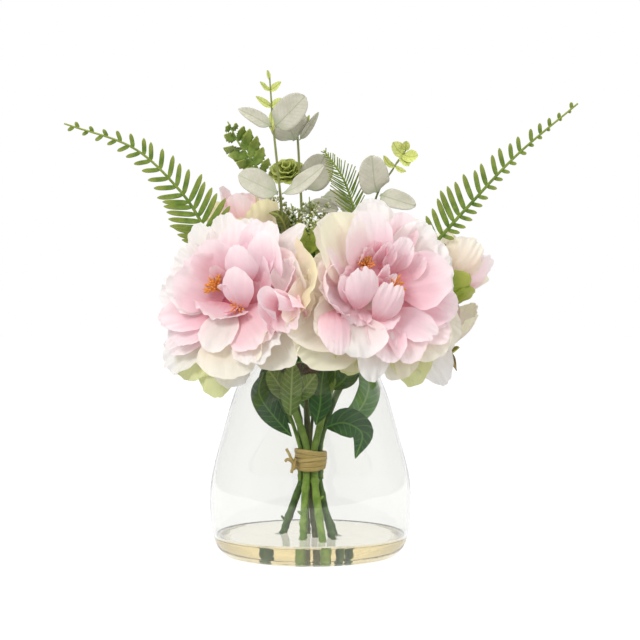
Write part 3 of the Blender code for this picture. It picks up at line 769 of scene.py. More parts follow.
@dataclass
class RaffiaTie:
    """Several strips of raffia wound round the stems, knotted at the front left, with cut tails."""

    turns: float = 3.3
    strips: int = 5
    width: float = 3.6
    thickness: float = 0.5

    def strip(self, sketch: Sketch, line: Sequence[Vector], outward: Sequence[Vector], width: float) -> None:
        """Adds one flat strip.

        Args:
            sketch: what it is added to.
            line: its middle.
            outward: the direction its face looks in at each point.
            width: its width.
        """
        rows, marks = [], []
        for (place, along, reach), out in zip(walk(line), outward):
            side = along.normalized().cross(out).normalized()
            wide = width / 2 * (1 + 0.22 * wobble(reach / 9, width, 3.3))
            crease = 0.35 * wobble(reach / 6, width, 8.1)
            section = ((-1, -0.5), (-0.4, 0.5 + crease), (0.15, 0.2), (0.6, 0.6), (1, -0.4), (0.1, -0.6))
            rows.append([place + side * x * wide + out * y * self.thickness for x, y in section])
            marks.append([(0.5, 0.0, x * wide, reach) for x, _ in section])
        sketch.closed_sheet(rows, marks, RAFFIA)

    def build_winding(self) -> None:
        """Winds the strips, which cross and wander a little but keep within the band."""
        low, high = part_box("raffia_band")
        inner, bottom, top = high.x / MM - 1.2, low.z / MM, high.z / MM
        steps, margin = int(self.turns * 26), 0.4
        sketch = Sketch("raffia_winding")
        for strip in range(self.strips):
            line, outward = [], []
            for i in range(steps + 1):
                angle = math.radians(200 + 71 * strip) + math.tau * self.turns * i / steps
                height = bottom + 1.8 + (top - bottom - 3.6) * ((strip + 0.5) / self.strips)
                height += 2.3 * wobble(angle * 0.45, strip * 2.7) + 1.5 * math.sin(angle + strip)
                height = min(top - margin, max(bottom + margin, height))
                radius = inner - 0.5 + 0.55 * ((strip * 2) % 5) / 2 + 0.5 * wobble(angle * 1.3, strip * 5.1)
                out = Vector((math.cos(angle), math.sin(angle), 0.0))
                line.append(out * radius + Vector((0, 0, height)))
                outward.append(out)
            self.strip(sketch, line, outward, self.width - 0.35 * (strip % 3))
        sketch.piece("raffia_band")

    def build_knot(self) -> None:
        """Ties three loops at the front left and lays the cut tails."""
        sketch = Sketch("raffia_knot_and_tails")
        out, middle = Vector((-0.80, -0.60, 0.0)), Vector((-11.4, -8.4, 69.0))
        for turn in range(3):
            loop = [middle + out * (1.6 + 0.5 * math.sin(a)) + Vector((0.6, -0.8, 0)) * 1.6 * math.sin(a + turn)
                    + Vector((0, 0, 3.4 * math.cos(a) + turn - 1)) for a in (math.tau * i / 18 for i in range(19))]
            self.strip(sketch, loop, [(p - middle).normalized() for p in loop], 2.6)
        for route in (((-12.6, -9.6, 70), (-14.6, -10.6, 73.5), (-16.4, -10.6, 77.5), (-18.2, -10.2, 80.5)),
                      ((-12.6, -9.8, 69), (-15.2, -11.0, 72.0), (-17.6, -11.2, 72.6), (-19.0, -11.0, 71.0)),
                      ((-12.4, -9.8, 68), (-13.4, -11.2, 65.6), (-14.0, -11.4, 64.0), (-14.2, -11.4, 62.5))):
            line = smooth_line(route, 12)
            self.strip(sketch, line, [Vector((-0.3, -0.95, 0.1))] * len(line), 2.2)
        sketch.piece("raffia_knot")

    def build(self) -> None:
        """Winds the strips and ties them."""
        self.build_winding()
        self.build_knot()


# ---------------- blades


class Outline(Enum):
    """How a blade's width runs: where it is widest, how long it stays wide, and how blunt its ends are."""

    LANCE = (0.40, 1.7, 1.0)
    OVAL = (0.48, 2.0, 0.62)
    ROUND = (0.55, 2.2, 0.5)
    STRAP = (0.45, 3.6, 0.6)
    NEEDLE = (0.30, 1.4, 0.8)

    def half_width(self, share: float) -> float:
        """Measures the width along a blade.

        Args:
            share: the share of the length.

        Returns:
            Half the width there, as a share of its greatest.
        """
        peak, hold, blunt = self.value
        off = (peak - share) / peak if share < peak else (share - peak) / (1 - peak)
        return max(0.02, 1 - min(1.0, abs(off)) ** hold) ** blunt


@dataclass(frozen=True)
class Blade:
    """A leaf blade along a midrib. fold lifts its edges towards its face, and wave ripples them."""

    midrib: tuple[Point, ...]
    width: float
    face: Point
    outline: Outline = Outline.LANCE
    fold: float = 0.16
    wave: float = 0.8
    teeth: float = 0.0
    stalk: float = 0.0

    def surface(self, seed: float, rows: int = 18, columns: int = 8) -> tuple[Rows, Marks]:
        """Gives the blade's points and marks.

        Args:
            seed: a number of its own, so that no two blades ripple alike.
            rows: steps from foot to tip.
            columns: steps from edge to edge.

        Returns:
            Rows of points, and what the print reads at each.
        """
        points: Rows = []
        marks: Marks = []
        for i, (place, along, reach) in enumerate(walk(smooth_line(self.midrib, rows))):
            share = i / rows
            side = along.cross(Vector(self.face)).normalized()
            lift = side.cross(along).normalized()
            bare = max(0.0, (share - self.stalk) / (1 - self.stalk))
            half = max(0.35, self.width / 2 * self.outline.half_width(bare))
            if self.teeth and i % 2 and 1 < i < rows - 1:
                half += self.teeth
            row, row_marks = [], []
            for j in range(columns + 1):
                t = 2 * j / columns - 1
                ripple = self.wave * abs(t) ** 1.5 * wobble(share * 3.5 + seed, t * 0.8, seed)
                up = half * self.fold * abs(t) ** 1.3 + ripple * min(1.0, half)
                row.append(place + side * half * t + lift * up)
                row_marks.append((share, abs(t) ** 6, half * t, reach))
            points.append(row)
            marks.append(row_marks)
        return points, marks


# ---------------- stems


THICK_RING = 6.4  # radius of the ring of thick stems in the tie
THIN_RING = 9.4  # radius of the thin stems, in the hollows between the thick ones
FOOT_HEIGHT = 5.6  # where the thick stems end, in the resin
KNEE_HEIGHT = 26.0  # where they bend
CUT_HEIGHT = 56.0  # where the thin stems are trimmed, under the tie
TIE_HEIGHTS = (66.0, 82.0)  # between these every stem is upright
TIE_CLEAR = (60.0, 84.0)  # between these no stem sways


@dataclass(frozen=True)
class Stem:
    """A stem: its place in the tie, its way up from there, and where its foot stands in the resin.

    slot is the place's angle in degrees, or None for the middle. A thin stem has no foot. knots are the
    heights along it, as shares, where a leaf scar swells it, and stubs are cut side shoots: where along
    it they are, and which way they point in degrees.
    """

    name: str
    slot: float | None
    radius: float
    way_up: tuple[Point, ...]
    tip_radius: float
    foot: tuple[float, float] | None = None
    knots: tuple[float, ...] = (0.08, 0.17, 0.55, 0.8)
    finish: Finish = STEM
    stubs: tuple[tuple[float, float], ...] = ()
    leaves: tuple[Blade, ...] = ()

    def route(self) -> list[Point]:
        """Lists the points that it passes through.

        Returns:
            The points, from its foot to its tip.
        """
        reach = THICK_RING if self.foot else THIN_RING
        angle = math.radians(self.slot or 0.0)
        x, y = (0.0, 0.0) if self.slot is None else (reach * math.cos(angle), reach * math.sin(angle))
        below: list[Point] = [(x, y, CUT_HEIGHT)]
        if self.foot:
            dx, dy = self.foot[0] - x, self.foot[1] - y
            below = [(x + dx, y + dy, FOOT_HEIGHT), (x + dx * 0.6, y + dy * 0.6, KNEE_HEIGHT), *below]
        return [*below, (x, y, TIE_HEIGHTS[0]), (x, y, TIE_HEIGHTS[1]), *self.way_up]

    def build(self, sketch: Sketch) -> None:
        """Adds the moulded stem, with its scars, its uneven thickness and its slight bends.

        Args:
            sketch: what it is added to.
        """
        route = self.route()
        count = 14 * len(route)
        line = smooth_line(route, count)
        for i, place in enumerate(line):
            if TIE_CLEAR[0] > place.z or place.z > TIE_CLEAR[1]:
                free = 0.0 if self.tip_radius < 0.9 and i > count * 0.9 else 1.0
                sway = Vector((wobble(i / 9, self.radius, 1.7), wobble(i / 9, self.radius, 6.3), 0.0))
                line[i] = place + sway * 0.55 * free
        radii = []
        for i in range(count + 1):
            share = i / count
            radius = self.radius + (self.tip_radius - self.radius) * share
            scar = sum(math.exp(-((share - k) / 0.008) ** 2) for k in self.knots)
            radii.append(radius * (1 + 0.24 * scar + 0.14 * wobble(i / 2.3, self.radius * 7)))
        if self.foot:
            radii[0] *= 1.15
        sketch.tube(line, radii, self.finish, 14)
        for at, angle in self.stubs:
            start = line[int(at * count)]
            turn = math.radians(angle)
            out = Vector((math.cos(turn), math.sin(turn), 0.9)).normalized()
            sketch.tube([start, start + out * 3.2, start + out * 6.0, start + out * 6.6], [1.3, 1.0, 0.9, 0.6],
                        self.finish, 8)
        for blade in self.leaves:
            sketch.sheet(*blade.surface(self.radius * 3 + len(sketch.points)), LEAF_TOP)


STEMS = {stem.name: stem for stem in (
    Stem("stem_peony_left", 240, 2.9,
         ((-14, -8, 115), (-29, -2, 154), (-39, -4, 178), (-46.3, -13.5, 181.8), (-48.4, -15.6, 184.0)), 2.3,
         (-6, -23), (0.05, 0.11, 0.2, 0.55, 0.8), STEM, ((0.13, 200),), (
             Blade(((-20, -5, 128), (-14, -14, 140), (-6, -16, 148), (-1, -14, 153)), 17, (0.2, -1, 0.3)),
             Blade(((-24, -4, 138), (-32, -8, 148), (-38, -9, 160), (-36, -8, 170)), 18, (0.2, -1, 0.1)))),
    Stem("stem_peony_right", 300, 2.9,
         ((13, -8, 118), (27, -3, 160), (38, -6, 190), (42.0, -14.0, 197.0), (44.0, -18.0, 198.4)), 2.3,
         (10, -35), (0.04, 0.13, 0.22, 0.6, 0.85), STEM, ((0.17, 20),), (
             Blade(((16, -6, 124), (26, -11, 134), (30, -12, 146), (28, -11, 156)), 17, (0.0, -1, 0.2)),
             Blade(((14, -7, 120), (10, -8, 136), (4, -6, 150), (2, -4, 162)), 18, (-0.2, -1, 0.1)))),
    Stem("stem_bud_low_right", 0, 2.6,
         ((20, -3, 120), (36, -1, 146), (58, 6, 158), (74, 13, 148), (85, 17, 142.5), (90.8, 18.6, 148.2)), 1.5,
         (18, -21), (0.06, 0.16, 0.24, 0.6), STEM_DARK),
    Stem("stem_fern_right", 60, 2.2, ((14, 12, 122), (34, 18, 165), (62, 11, 203), (90, -5, 231)), 1.5,
         (22, -3), (0.1, 0.3, 0.6), STEM_DARK),
    Stem("stem_eucalyptus_back", 120, 2.2,
         ((-4, 17, 140), (-6, 26, 200), (-7, 29, 256), (-10, 30, 312), (-10.5, 30, 323)), 0.7,
         (-2, 10), (0.07, 0.3, 0.5, 0.76), STEM_OLIVE),
    Stem("stem_bud_back_left", 180, 2.9,
         ((-13, 5, 125), (-25, 13, 168), (-40, 28, 204), (-43.0, 27.4, 216.6), (-43.7, 28.6, 219.0)), 1.8,
         (-24, 8), (0.05, 0.12, 0.5), STEM_DARK, ((0.1, 150),), (
             Blade(((-20, 8, 145), (-8, 8, 156), (2, 10, 168), (4, 10, 182)), 20, (0.0, -1, 0.2)),
             Blade(((-27, 14, 172), (-18, 14, 186), (-6, 15, 196), (4, 16, 204)), 20, (0.1, -1, 0.3)),
             Blade(((-33, 20, 190), (-24, 18, 206), (-16, 16, 216), (-8, 14, 228)), 17, (0.1, -1, 0.3)))),
    Stem("stem_eucalyptus_tall", None, 2.4,
         ((-5, 7, 130), (-14, 13, 190), (-21, 14, 240), (-23, 14, 270), (-28, 14, 322), (-31, 14, 361)), 0.6,
         (4, -10), (0.1, 0.3, 0.58, 0.93), STEM_OLIVE),
    Stem("stem_fern_left", 210, 1.4, ((-23, -1, 124), (-44, 6, 170), (-62, 4, 208), (-76.5, -3, 240.5)), 1.4),
    Stem("stem_leafy_sprig", 150, 1.3, ((-13, 17, 130), (-23, 34, 200), (-31, 39, 250), (-36, 32, 281)), 1.0,
         None, (0.3, 0.6), STEM_DARK, (), (
             Blade(((-23, 33, 205), (-14, 26, 224), (-8, 22, 238), (-4, 20, 250)), 17, (0, -1, 0.2)),
             Blade(((-24, 34, 210), (-6, 30, 226), (6, 26, 236), (18, 24, 244)), 18, (0, -1, 0.4)),
             Blade(((-26, 36, 222), (-24, 30, 238), (-18, 24, 250), (-12, 20, 256)), 12, (0, -1, 0.2)))),
    Stem("stem_eucalyptus_right", 90, 1.4,
         ((5, 22, 130), (22, 31, 190), (40, 27, 238), (51, 20, 272), (60, 20, 287), (74, 20, 307)), 0.6,
         None, (0.6, 0.8, 0.93), STEM_OLIVE),
    Stem("stem_bud_right", 30, 1.5,
         ((17, 6, 115), (34, 10, 148), (58, 12, 168), (86, 6, 180), (94, -2, 187), (97.2, -1.2, 194.0)), 1.5),
)}


# ---------------- flowers


SPINE_STEPS = 40  # how finely a petal's midrib is followed


@dataclass(frozen=True)
class Petal:
    """One petal in its flower's own frame.

    foot is where it starts, and heading the way it points, in degrees anticlockwise from the viewer's
    right. lean is its angle from the flower's axis at its foot and at its tip. cup bends its edges up
    round the midrib, or back where it is below zero, and curl bends the last third back.
    """

    foot: Point
    heading: float
    length: float
    width: float
    lean: tuple[float, float]
    dye: Dye = Dye.BLUSH
    cup: float = 28.0
    ruffle: float = 1.3
    nick: float = 1.2
    curl: float = 0.0
    cleft: float = 0.0
    round: float = 0.30

    def spine(self) -> list[tuple[Vector, float]]:
        """Follows the midrib.

        Returns:
            Places along it, and the lean at each.
        """
        steps = SPINE_STEPS
        ahead = Vector((math.cos(math.radians(self.heading)), math.sin(math.radians(self.heading)), 0.0))
        place, made = Vector(self.foot), []
        for step in range(steps + 1):
            share = step / steps
            lean = math.radians(self.lean[0] + (self.lean[1] - self.lean[0]) * share
                                + self.curl * max(0.0, share - 0.66) / 0.34)
            made.append((place.copy(), lean))
            place += (ahead * math.sin(lean) + Vector((0, 0, math.cos(lean)))) * self.length / steps
        return made

    def surface(self, seed: float, rows: int = 22, columns: int = 34) -> tuple[Rows, Marks]:
        """Gives the petal's points and marks.

        Args:
            seed: a number of its own, so that no two petals ruffle alike.
            rows: steps from foot to tip.
            columns: steps from edge to edge.

        Returns:
            Rows of points, and what the dye reads at each.
        """
        spine = self.spine()
        ahead = Vector((math.cos(math.radians(self.heading)), math.sin(math.radians(self.heading)), 0.0))
        side = ahead.cross(Vector((0, 0, 1)))
        lopsided = 0.35 * wobble(seed, 4.4)
        points: Rows = []
        marks: Marks = []
        for i in range(rows + 1):
            s = i / rows
            half = self.width / 2 * (0.22 + 0.78 * math.sin(min(1.0, s / 0.74) * math.pi / 2) ** 1.15)
            bend = math.radians(self.cup) * (0.4 + 0.6 * s)
            row, row_marks = [], []
            for j in range(columns + 1):
                t = 2 * j / columns - 1
                teeth = 0.35 + 1.1 * wobble(t * 3.1, seed * 3.1) + 0.35 * wobble(t * 8.0, seed * 5.3)
                notch = self.cleft * math.exp(-((t + 0.1) / 0.14) ** 2) * s
                off = t - lopsided * (1 - t * t)
                reach = s * (1 - self.round * abs(off) ** 2.3 - (self.nick * teeth + notch) * s / self.length)
                at = max(0.0, min(0.9999, reach)) * SPINE_STEPS
                low, share = int(at), at - int(at)
                place = spine[low][0].lerp(spine[low + 1][0], share)
                lean = spine[low][1] + (spine[low + 1][1] - spine[low][1]) * share
                inward = Vector((0, 0, math.sin(lean))) - ahead * math.cos(lean)
                flat = t * bend
                x = half * (math.sin(flat) / bend if abs(bend) > 0.01 else t)
                n = half * ((1 - math.cos(flat)) / bend if abs(bend) > 0.01 else 0.0)
                n += self.folds(s, t, seed)
                row.append(place + side * x + inward * n)
                row_marks.append((reach, max(s ** 6, abs(t) ** 6 * s), t * half, reach * self.length))
            points.append(row)
            marks.append(row_marks)
        return points, marks

    def folds(self, s: float, t: float, seed: float) -> float:
        """How far the cloth stands off its smooth shape.

        Args:
            s: the share of the way out from the foot.
            t: the place across, from -1 to 1.
            seed: the petal's own number.

        Returns:
            Millimetres towards the viewer.
        """
        size = self.width / 40
        wave = 2.4 * wobble(t * 1.4 + seed, s * 1.2, seed) * s * (0.5 + 0.5 * t * t)
        pleats = 0.75 * wobble(t * 4.6 + seed, s * 1.1, seed * 1.3) * (0.25 + s)
        fine = 0.2 * wobble(t * 8.5, s * 4.0, seed * 2.1) * (0.3 + s)
        frill = 1.7 * s ** 4 * wobble(t * 5.5, s * 1.5, seed * 1.7)
        crease = -1.2 * math.exp(-(t / 0.10) ** 2) * s * (1.1 - s)
        dents = 1.7 * wobble(t * 2.6, s * 3.4, seed + 9) * s
        return size * (self.ruffle * (wave + frill) + pleats + fine + crease + dents)


def whorl(count: int, start: float, foot: tuple[float, float], length: float, width: float,
          lean: tuple[float, float], dyes: Sequence[Dye], cup: float = 28.0, ruffle: float = 1.3,
          arc: float = 360.0, uneven: float = 1.0) -> list[Petal]:
    """Sets petals round a flower's axis, each a little different.

    Args:
        count: how many.
        start: the first one's heading in degrees.
        foot: how far from the axis they start, and how high.
        length: their length.
        width: their width.
        lean: their lean at foot and tip.
        dyes: their cloths, used in turn.
        cup: how far their edges are bent up.
        ruffle: how wavy their edges are.
        arc: how much of the circle they fill, in degrees.
        uneven: how much they differ from each other.

    Returns:
        The petals.
    """
    made = []
    for i in range(count):
        seed = start * 0.13 + i * 1.7
        heading = start + arc * i / count + 7 * uneven * wobble(seed, 2.1)
        stretch = 1 + 0.16 * uneven * wobble(seed, 5.7)
        tilt = 9 * uneven * wobble(seed, 8.3)
        angle = math.radians(heading)
        made.append(Petal((foot[0] * math.cos(angle), foot[0] * math.sin(angle), foot[1]), heading,
                          length * stretch, width * (1 + 0.14 * uneven * wobble(seed, 3.9)),
                          (lean[0] + tilt * 0.4, lean[1] + tilt), dyes[i % len(dyes)],
                          cup * (1 + 0.3 * uneven * wobble(seed, 7.7)), ruffle))
    return made


@dataclass(frozen=True)
class Tuft:
    """A bunch of stamens: where it stands in the flower's frame, where it points, and how many there are."""

    foot: Point
    ahead: Point
    count: int
    length: float = 9.0
    spread: float = 4.0


@dataclass
class Flower:
    """A flower or a bud, at its place in the frame."""

    name: str
    centre: Point
    axis: Point
    layers: dict[str, list[Petal]]
    slots: dict[str, str]
    sepals: list[Petal]
    scale: float = 1.0
    tufts: tuple[Tuft, ...] = ()

    def turn(self) -> Matrix:
        """Gives the turn from the flower's own frame to the arrangement's."""
        ahead = Vector(self.axis).normalized()
        right = Vector((0, 0, 1)).cross(ahead).normalized()
        return Matrix((right, ahead.cross(right), ahead)).transposed()

    def placed(self, rows: Rows) -> Rows:
        """Moves points from the flower's own frame to the arrangement's."""
        turn, centre = self.turn(), Vector(self.centre)
        return [[centre + turn @ (p * self.scale) for p in row] for row in rows]

    def build(self) -> None:
        """Makes a piece for each layer of petals, the calyx and the stamens."""
        for number, (layer, petals) in enumerate(self.layers.items()):
            sketch = Sketch(f"{self.name}_{layer}_cloth")
            for i, petal in enumerate(petals):
                rows, marks = petal.surface(i * 2.3 + number * 5.9 + len(self.name))
                sketch.sheet(self.placed(rows), marks, petal.dye.value)
            sketch.piece(f"{self.name}_{layer}")
        sketch = Sketch(f"{self.name}_sepals")
        for i, petal in enumerate(self.sepals):
            rows, marks = petal.surface(i * 1.9 + 3, 10, 12)
            sketch.sheet(self.placed(rows), marks, CALYX)
        self.cap(sketch)
        sketch.piece(f"{self.name}_calyx", thickness=0.7)
        if self.tufts:
            self.build_stamens()

    def cap(self, sketch: Sketch) -> None:
        """Adds the moulded cup that grips the sepals and the end of the stem.

        Args:
            sketch: the calyx.
        """
        low = min(p.foot[2] for p in self.sepals)
        wide = max(math.hypot(p.foot[0], p.foot[1]) for p in self.sepals)
        turns = [math.tau * j / 16 for j in range(16)]
        rows = [[Vector((r * math.cos(a), r * math.sin(a), low + h)) for a in turns]
                for r, h in ((0.3, -1.0), (wide * 0.7, -0.9), (wide + 0.4, 0.0), (wide + 1.3, 2.0), (wide + 1.9, 4.4))]
        marks = [[(0.2, 0.0, j * 1.2, i * 2.0) for j in range(len(turns))] for i in range(len(rows))]
        sketch.sheet(self.placed(rows), marks, CALYX, True)

    def build_stamens(self) -> None:
        """Fine filaments, each with its long anther."""
        sketch = Sketch(f"{self.name}_stamen_floss")
        turn, centre = self.turn(), Vector(self.centre)
        for number, tuft in enumerate(self.tufts):
            for i in range(tuft.count):
                angle, out = i * GOLDEN_ANGLE, math.sqrt((i + 0.5) / tuft.count)
                ahead = Vector(tuft.ahead).normalized()
                side = ahead.orthogonal().normalized()
                fan = side * math.cos(angle) + ahead.cross(side) * math.sin(angle)
                foot = Vector(tuft.foot) + fan * out * tuft.spread * 0.4
                length = tuft.length * (0.8 + 0.35 * wobble(i * 1.3, number * 4.1))
                tip = foot + ahead * length + fan * out * tuft.spread
                bend = foot + ahead * length * 0.5 + fan * out * 0.8
                line = [centre + turn @ (p * self.scale) for p in smooth_line((foot, bend, tip), 4)]
                sketch.tube(line, [0.32] * len(line), STAMEN, 5)
                sketch.bead(line[-1], (line[-1] - line[-2]).normalized(), (1.7, 0.75), STAMEN, 6)
        sketch.piece(f"{self.name}_stamens")


PEONY_SLOTS = {"petals_heart": "petal_pink", "petals_inner": "petal_pink", "petals_middle": "petal_blush",
               "petals_outer": "petal_blush", "petals_collar": "petal_cream"}
BUD_SLOTS = {"petals_inner": "petal_pink", "petals_outer": "petal_cream"}


def peony_sepals() -> list[Petal]:
    """Gives the five green sepals under an open peony."""
    return whorl(5, 20, (3.4, -19.5), 30, 20, (40, 88), [LIME], 24, 0.6)


def left_peony() -> Flower:
    """Lays out the left peony: its cup opens on the left, and a rolled petal stands on its right.

    Returns:
        The flower.
    """
    return Flower("peony_left", (-57, -31, 192), (-0.42, -0.86, 0.25), {
        "petals_heart": [
            *whorl(6, 10, (1.5, 5.0), 17, 16, (78, 72), [DEEP], 20, 1.6),
            Petal((17, -8, 13), 94, 36, 28, (10, 112), BLUSH, -46, 1.1, 1.0),
            Petal((17, 9, 14), 88, 35, 29, (14, 96), BLUSH, -38, 1.4, 1.6),
            Petal((4, 0, 9), 66, 22, 14, (25, 10), ROSE, 50, 1.6),
            Petal((-2, 10, 9), 110, 20, 14, (40, 30), ROSE, 45, 1.6),
            Petal((8, -8, 9), 290, 14, 14, (40, 10), DEEP, 45, 1.5),
            Petal((20, -8, 5), 72, 24, 24, (76, 62), DEEP, 20, 1.4, 1.2),
        ],
        "petals_inner": [
            Petal((-3, 2, 7), 154, 41, 50, (64, 30), ROSE, 40, 1.3, 1.2),
            Petal((-1, 6, 7), 102, 43, 38, (54, 46), ROSE, 32, 1.6, 1.4),
            Petal((2, -4, 8), 258, 21, 50, (70, 22), BLUSH, 40, 1.4, 1.0),
            Petal((37, 10, 9), 82, 46, 29, (30, 68), BLUSH, 28, 1.0, 0.8),
            Petal((24, 6, 8), 60, 34, 30, (50, 44), ROSE, 34, 1.6, 1.4),
            Petal((60, -20, 4), 124, 44, 52, (54, 14), ROSE, 118, 1.0, 1.0),
            Petal((53, -6, 12), 118, 38, 42, (10, 2), ROSE, 170, 0.6, 1.2, 22),
            Petal((56, 2, 6), 98, 32, 30, (40, 68), WHITE, 56, 1.4, 1.0),
            Petal((46, 2, 8), 306, 40, 30, (56, 68), ROSE, 34, 2.2, 1.4),
            Petal((44, 4, 6), 56, 30, 30, (66, 34), ROSE, 44, 1.4, 1.0),
        ],
        "petals_middle": [
            Petal((18, 10, 6), 60, 58, 36, (48, 72), BLUSH, 26, 2.0, 4.4),
            Petal((8, 9, 6), 78, 52, 34, (50, 70), BLUSH, 28, 2.0, 3.6),
            Petal((14, -8, 8), 316, 44, 44, (64, 72), ROSE, 26, 1.8, 1.2),
            Petal((4, -8, 8), 262, 38, 32, (64, 78), WHITE, 26, 1.3, 1.0),
            Petal((-5, -6, 6), 200, 46, 30, (66, 66), ROSE, 30, 1.2, 1.2),
            Petal((-6, -7, 6), 226, 42, 30, (66, 76), ROSE, 28, 1.4, 1.5),
            Petal((42, 11, 2), 2, 47, 68, (80, 30), BUTTER, 46, 1.2, 1.2),
            Petal((-7, 4, 5), 180, 42, 40, (68, 50), WHITE, 32, 1.6, 1.8),
        ],
        "petals_outer": [
            Petal((1, 9, 3), 92, 57, 32, (60, 74), WHITE, 30, 2.6, 3.4),
            Petal((-4, 9, 3), 116, 53, 30, (60, 74), WHITE, 34, 2.6, 3.0),
            Petal((-8, 6, 3), 146, 46, 40, (70, 66), WHITE, 28, 2.4, 2.4),
            Petal((-9, 0, 3), 172, 46, 38, (72, 64), WHITE, 28, 2.2, 2.0),
            Petal((-8, -6, 2), 194, 48, 28, (76, 70), ROSE, 28, 1.8, 2.0),
            Petal((-7, -8, 2), 222, 50, 32, (78, 76), BLUSH, 26, 2.0, 2.4),
            Petal((8, -12, 5), 288, 52, 60, (70, 76), CREAM, 26, 2.6, 1.4, 16),
            Petal((16, -11, 4), 312, 52, 46, (72, 62), WHITE, 32, 2.2, 1.4),
            Petal((28, 10, 3), 30, 44, 40, (70, 42), ROSE, 36, 1.8, 1.6),
            Petal((26, 22, 0), 46, 48, 20, (70, 80), WHITE, 30, 1.6, 1.0, 0, 0, 0.6),
            Petal((9, 9, 3), 60, 56, 36, (62, 72), BLUSH, 28, 2.4, 3.2),
        ],
        "petals_collar": [
            Petal((-7, -9, 1), 229, 61, 36, (80, 88), WHITE, 24, 2.6, 3.2),
            Petal((-5, -10, 0), 243, 58, 36, (84, 92), LIME, 24, 2.2, 2.0),
            Petal((-1, -11, -1), 266, 62, 38, (86, 94), LIME, 24, 2.2, 1.6),
            Petal((4, -11, 0), 280, 56, 40, (84, 88), WHITE, 26, 2.2, 1.6),
            Petal((16, -9, 0), 321, 63, 44, (84, 72), CREAM, 28, 2.0, 1.4),
            Petal((22, 0, 0), 354, 56, 46, (84, 64), CREAM, 30, 1.8, 1.4),
            Petal((-9, -3, 0), 206, 46, 38, (82, 84), BLUSH, 26, 2.2, 2.2),
            Petal((-9, 4, 0), 160, 46, 42, (82, 80), WHITE, 24, 2.6, 2.4),
            Petal((-5, 9, 0), 128, 50, 40, (80, 84), WHITE, 24, 2.6, 2.8),
            Petal((4, 9, 0), 80, 54, 42, (78, 84), WHITE, 24, 2.6, 2.8),
            Petal((14, 8, 0), 48, 54, 40, (80, 76), WHITE, 28, 2.4, 2.4),
        ],
    }, PEONY_SLOTS, peony_sepals(), 1.0, (
        Tuft((-5, 6, 12), (-0.4, 0.35, 0.8), 40, 10, 6.0), Tuft((13, -5, 12), (0.0, -0.6, 0.8), 12, 7, 4.0)))


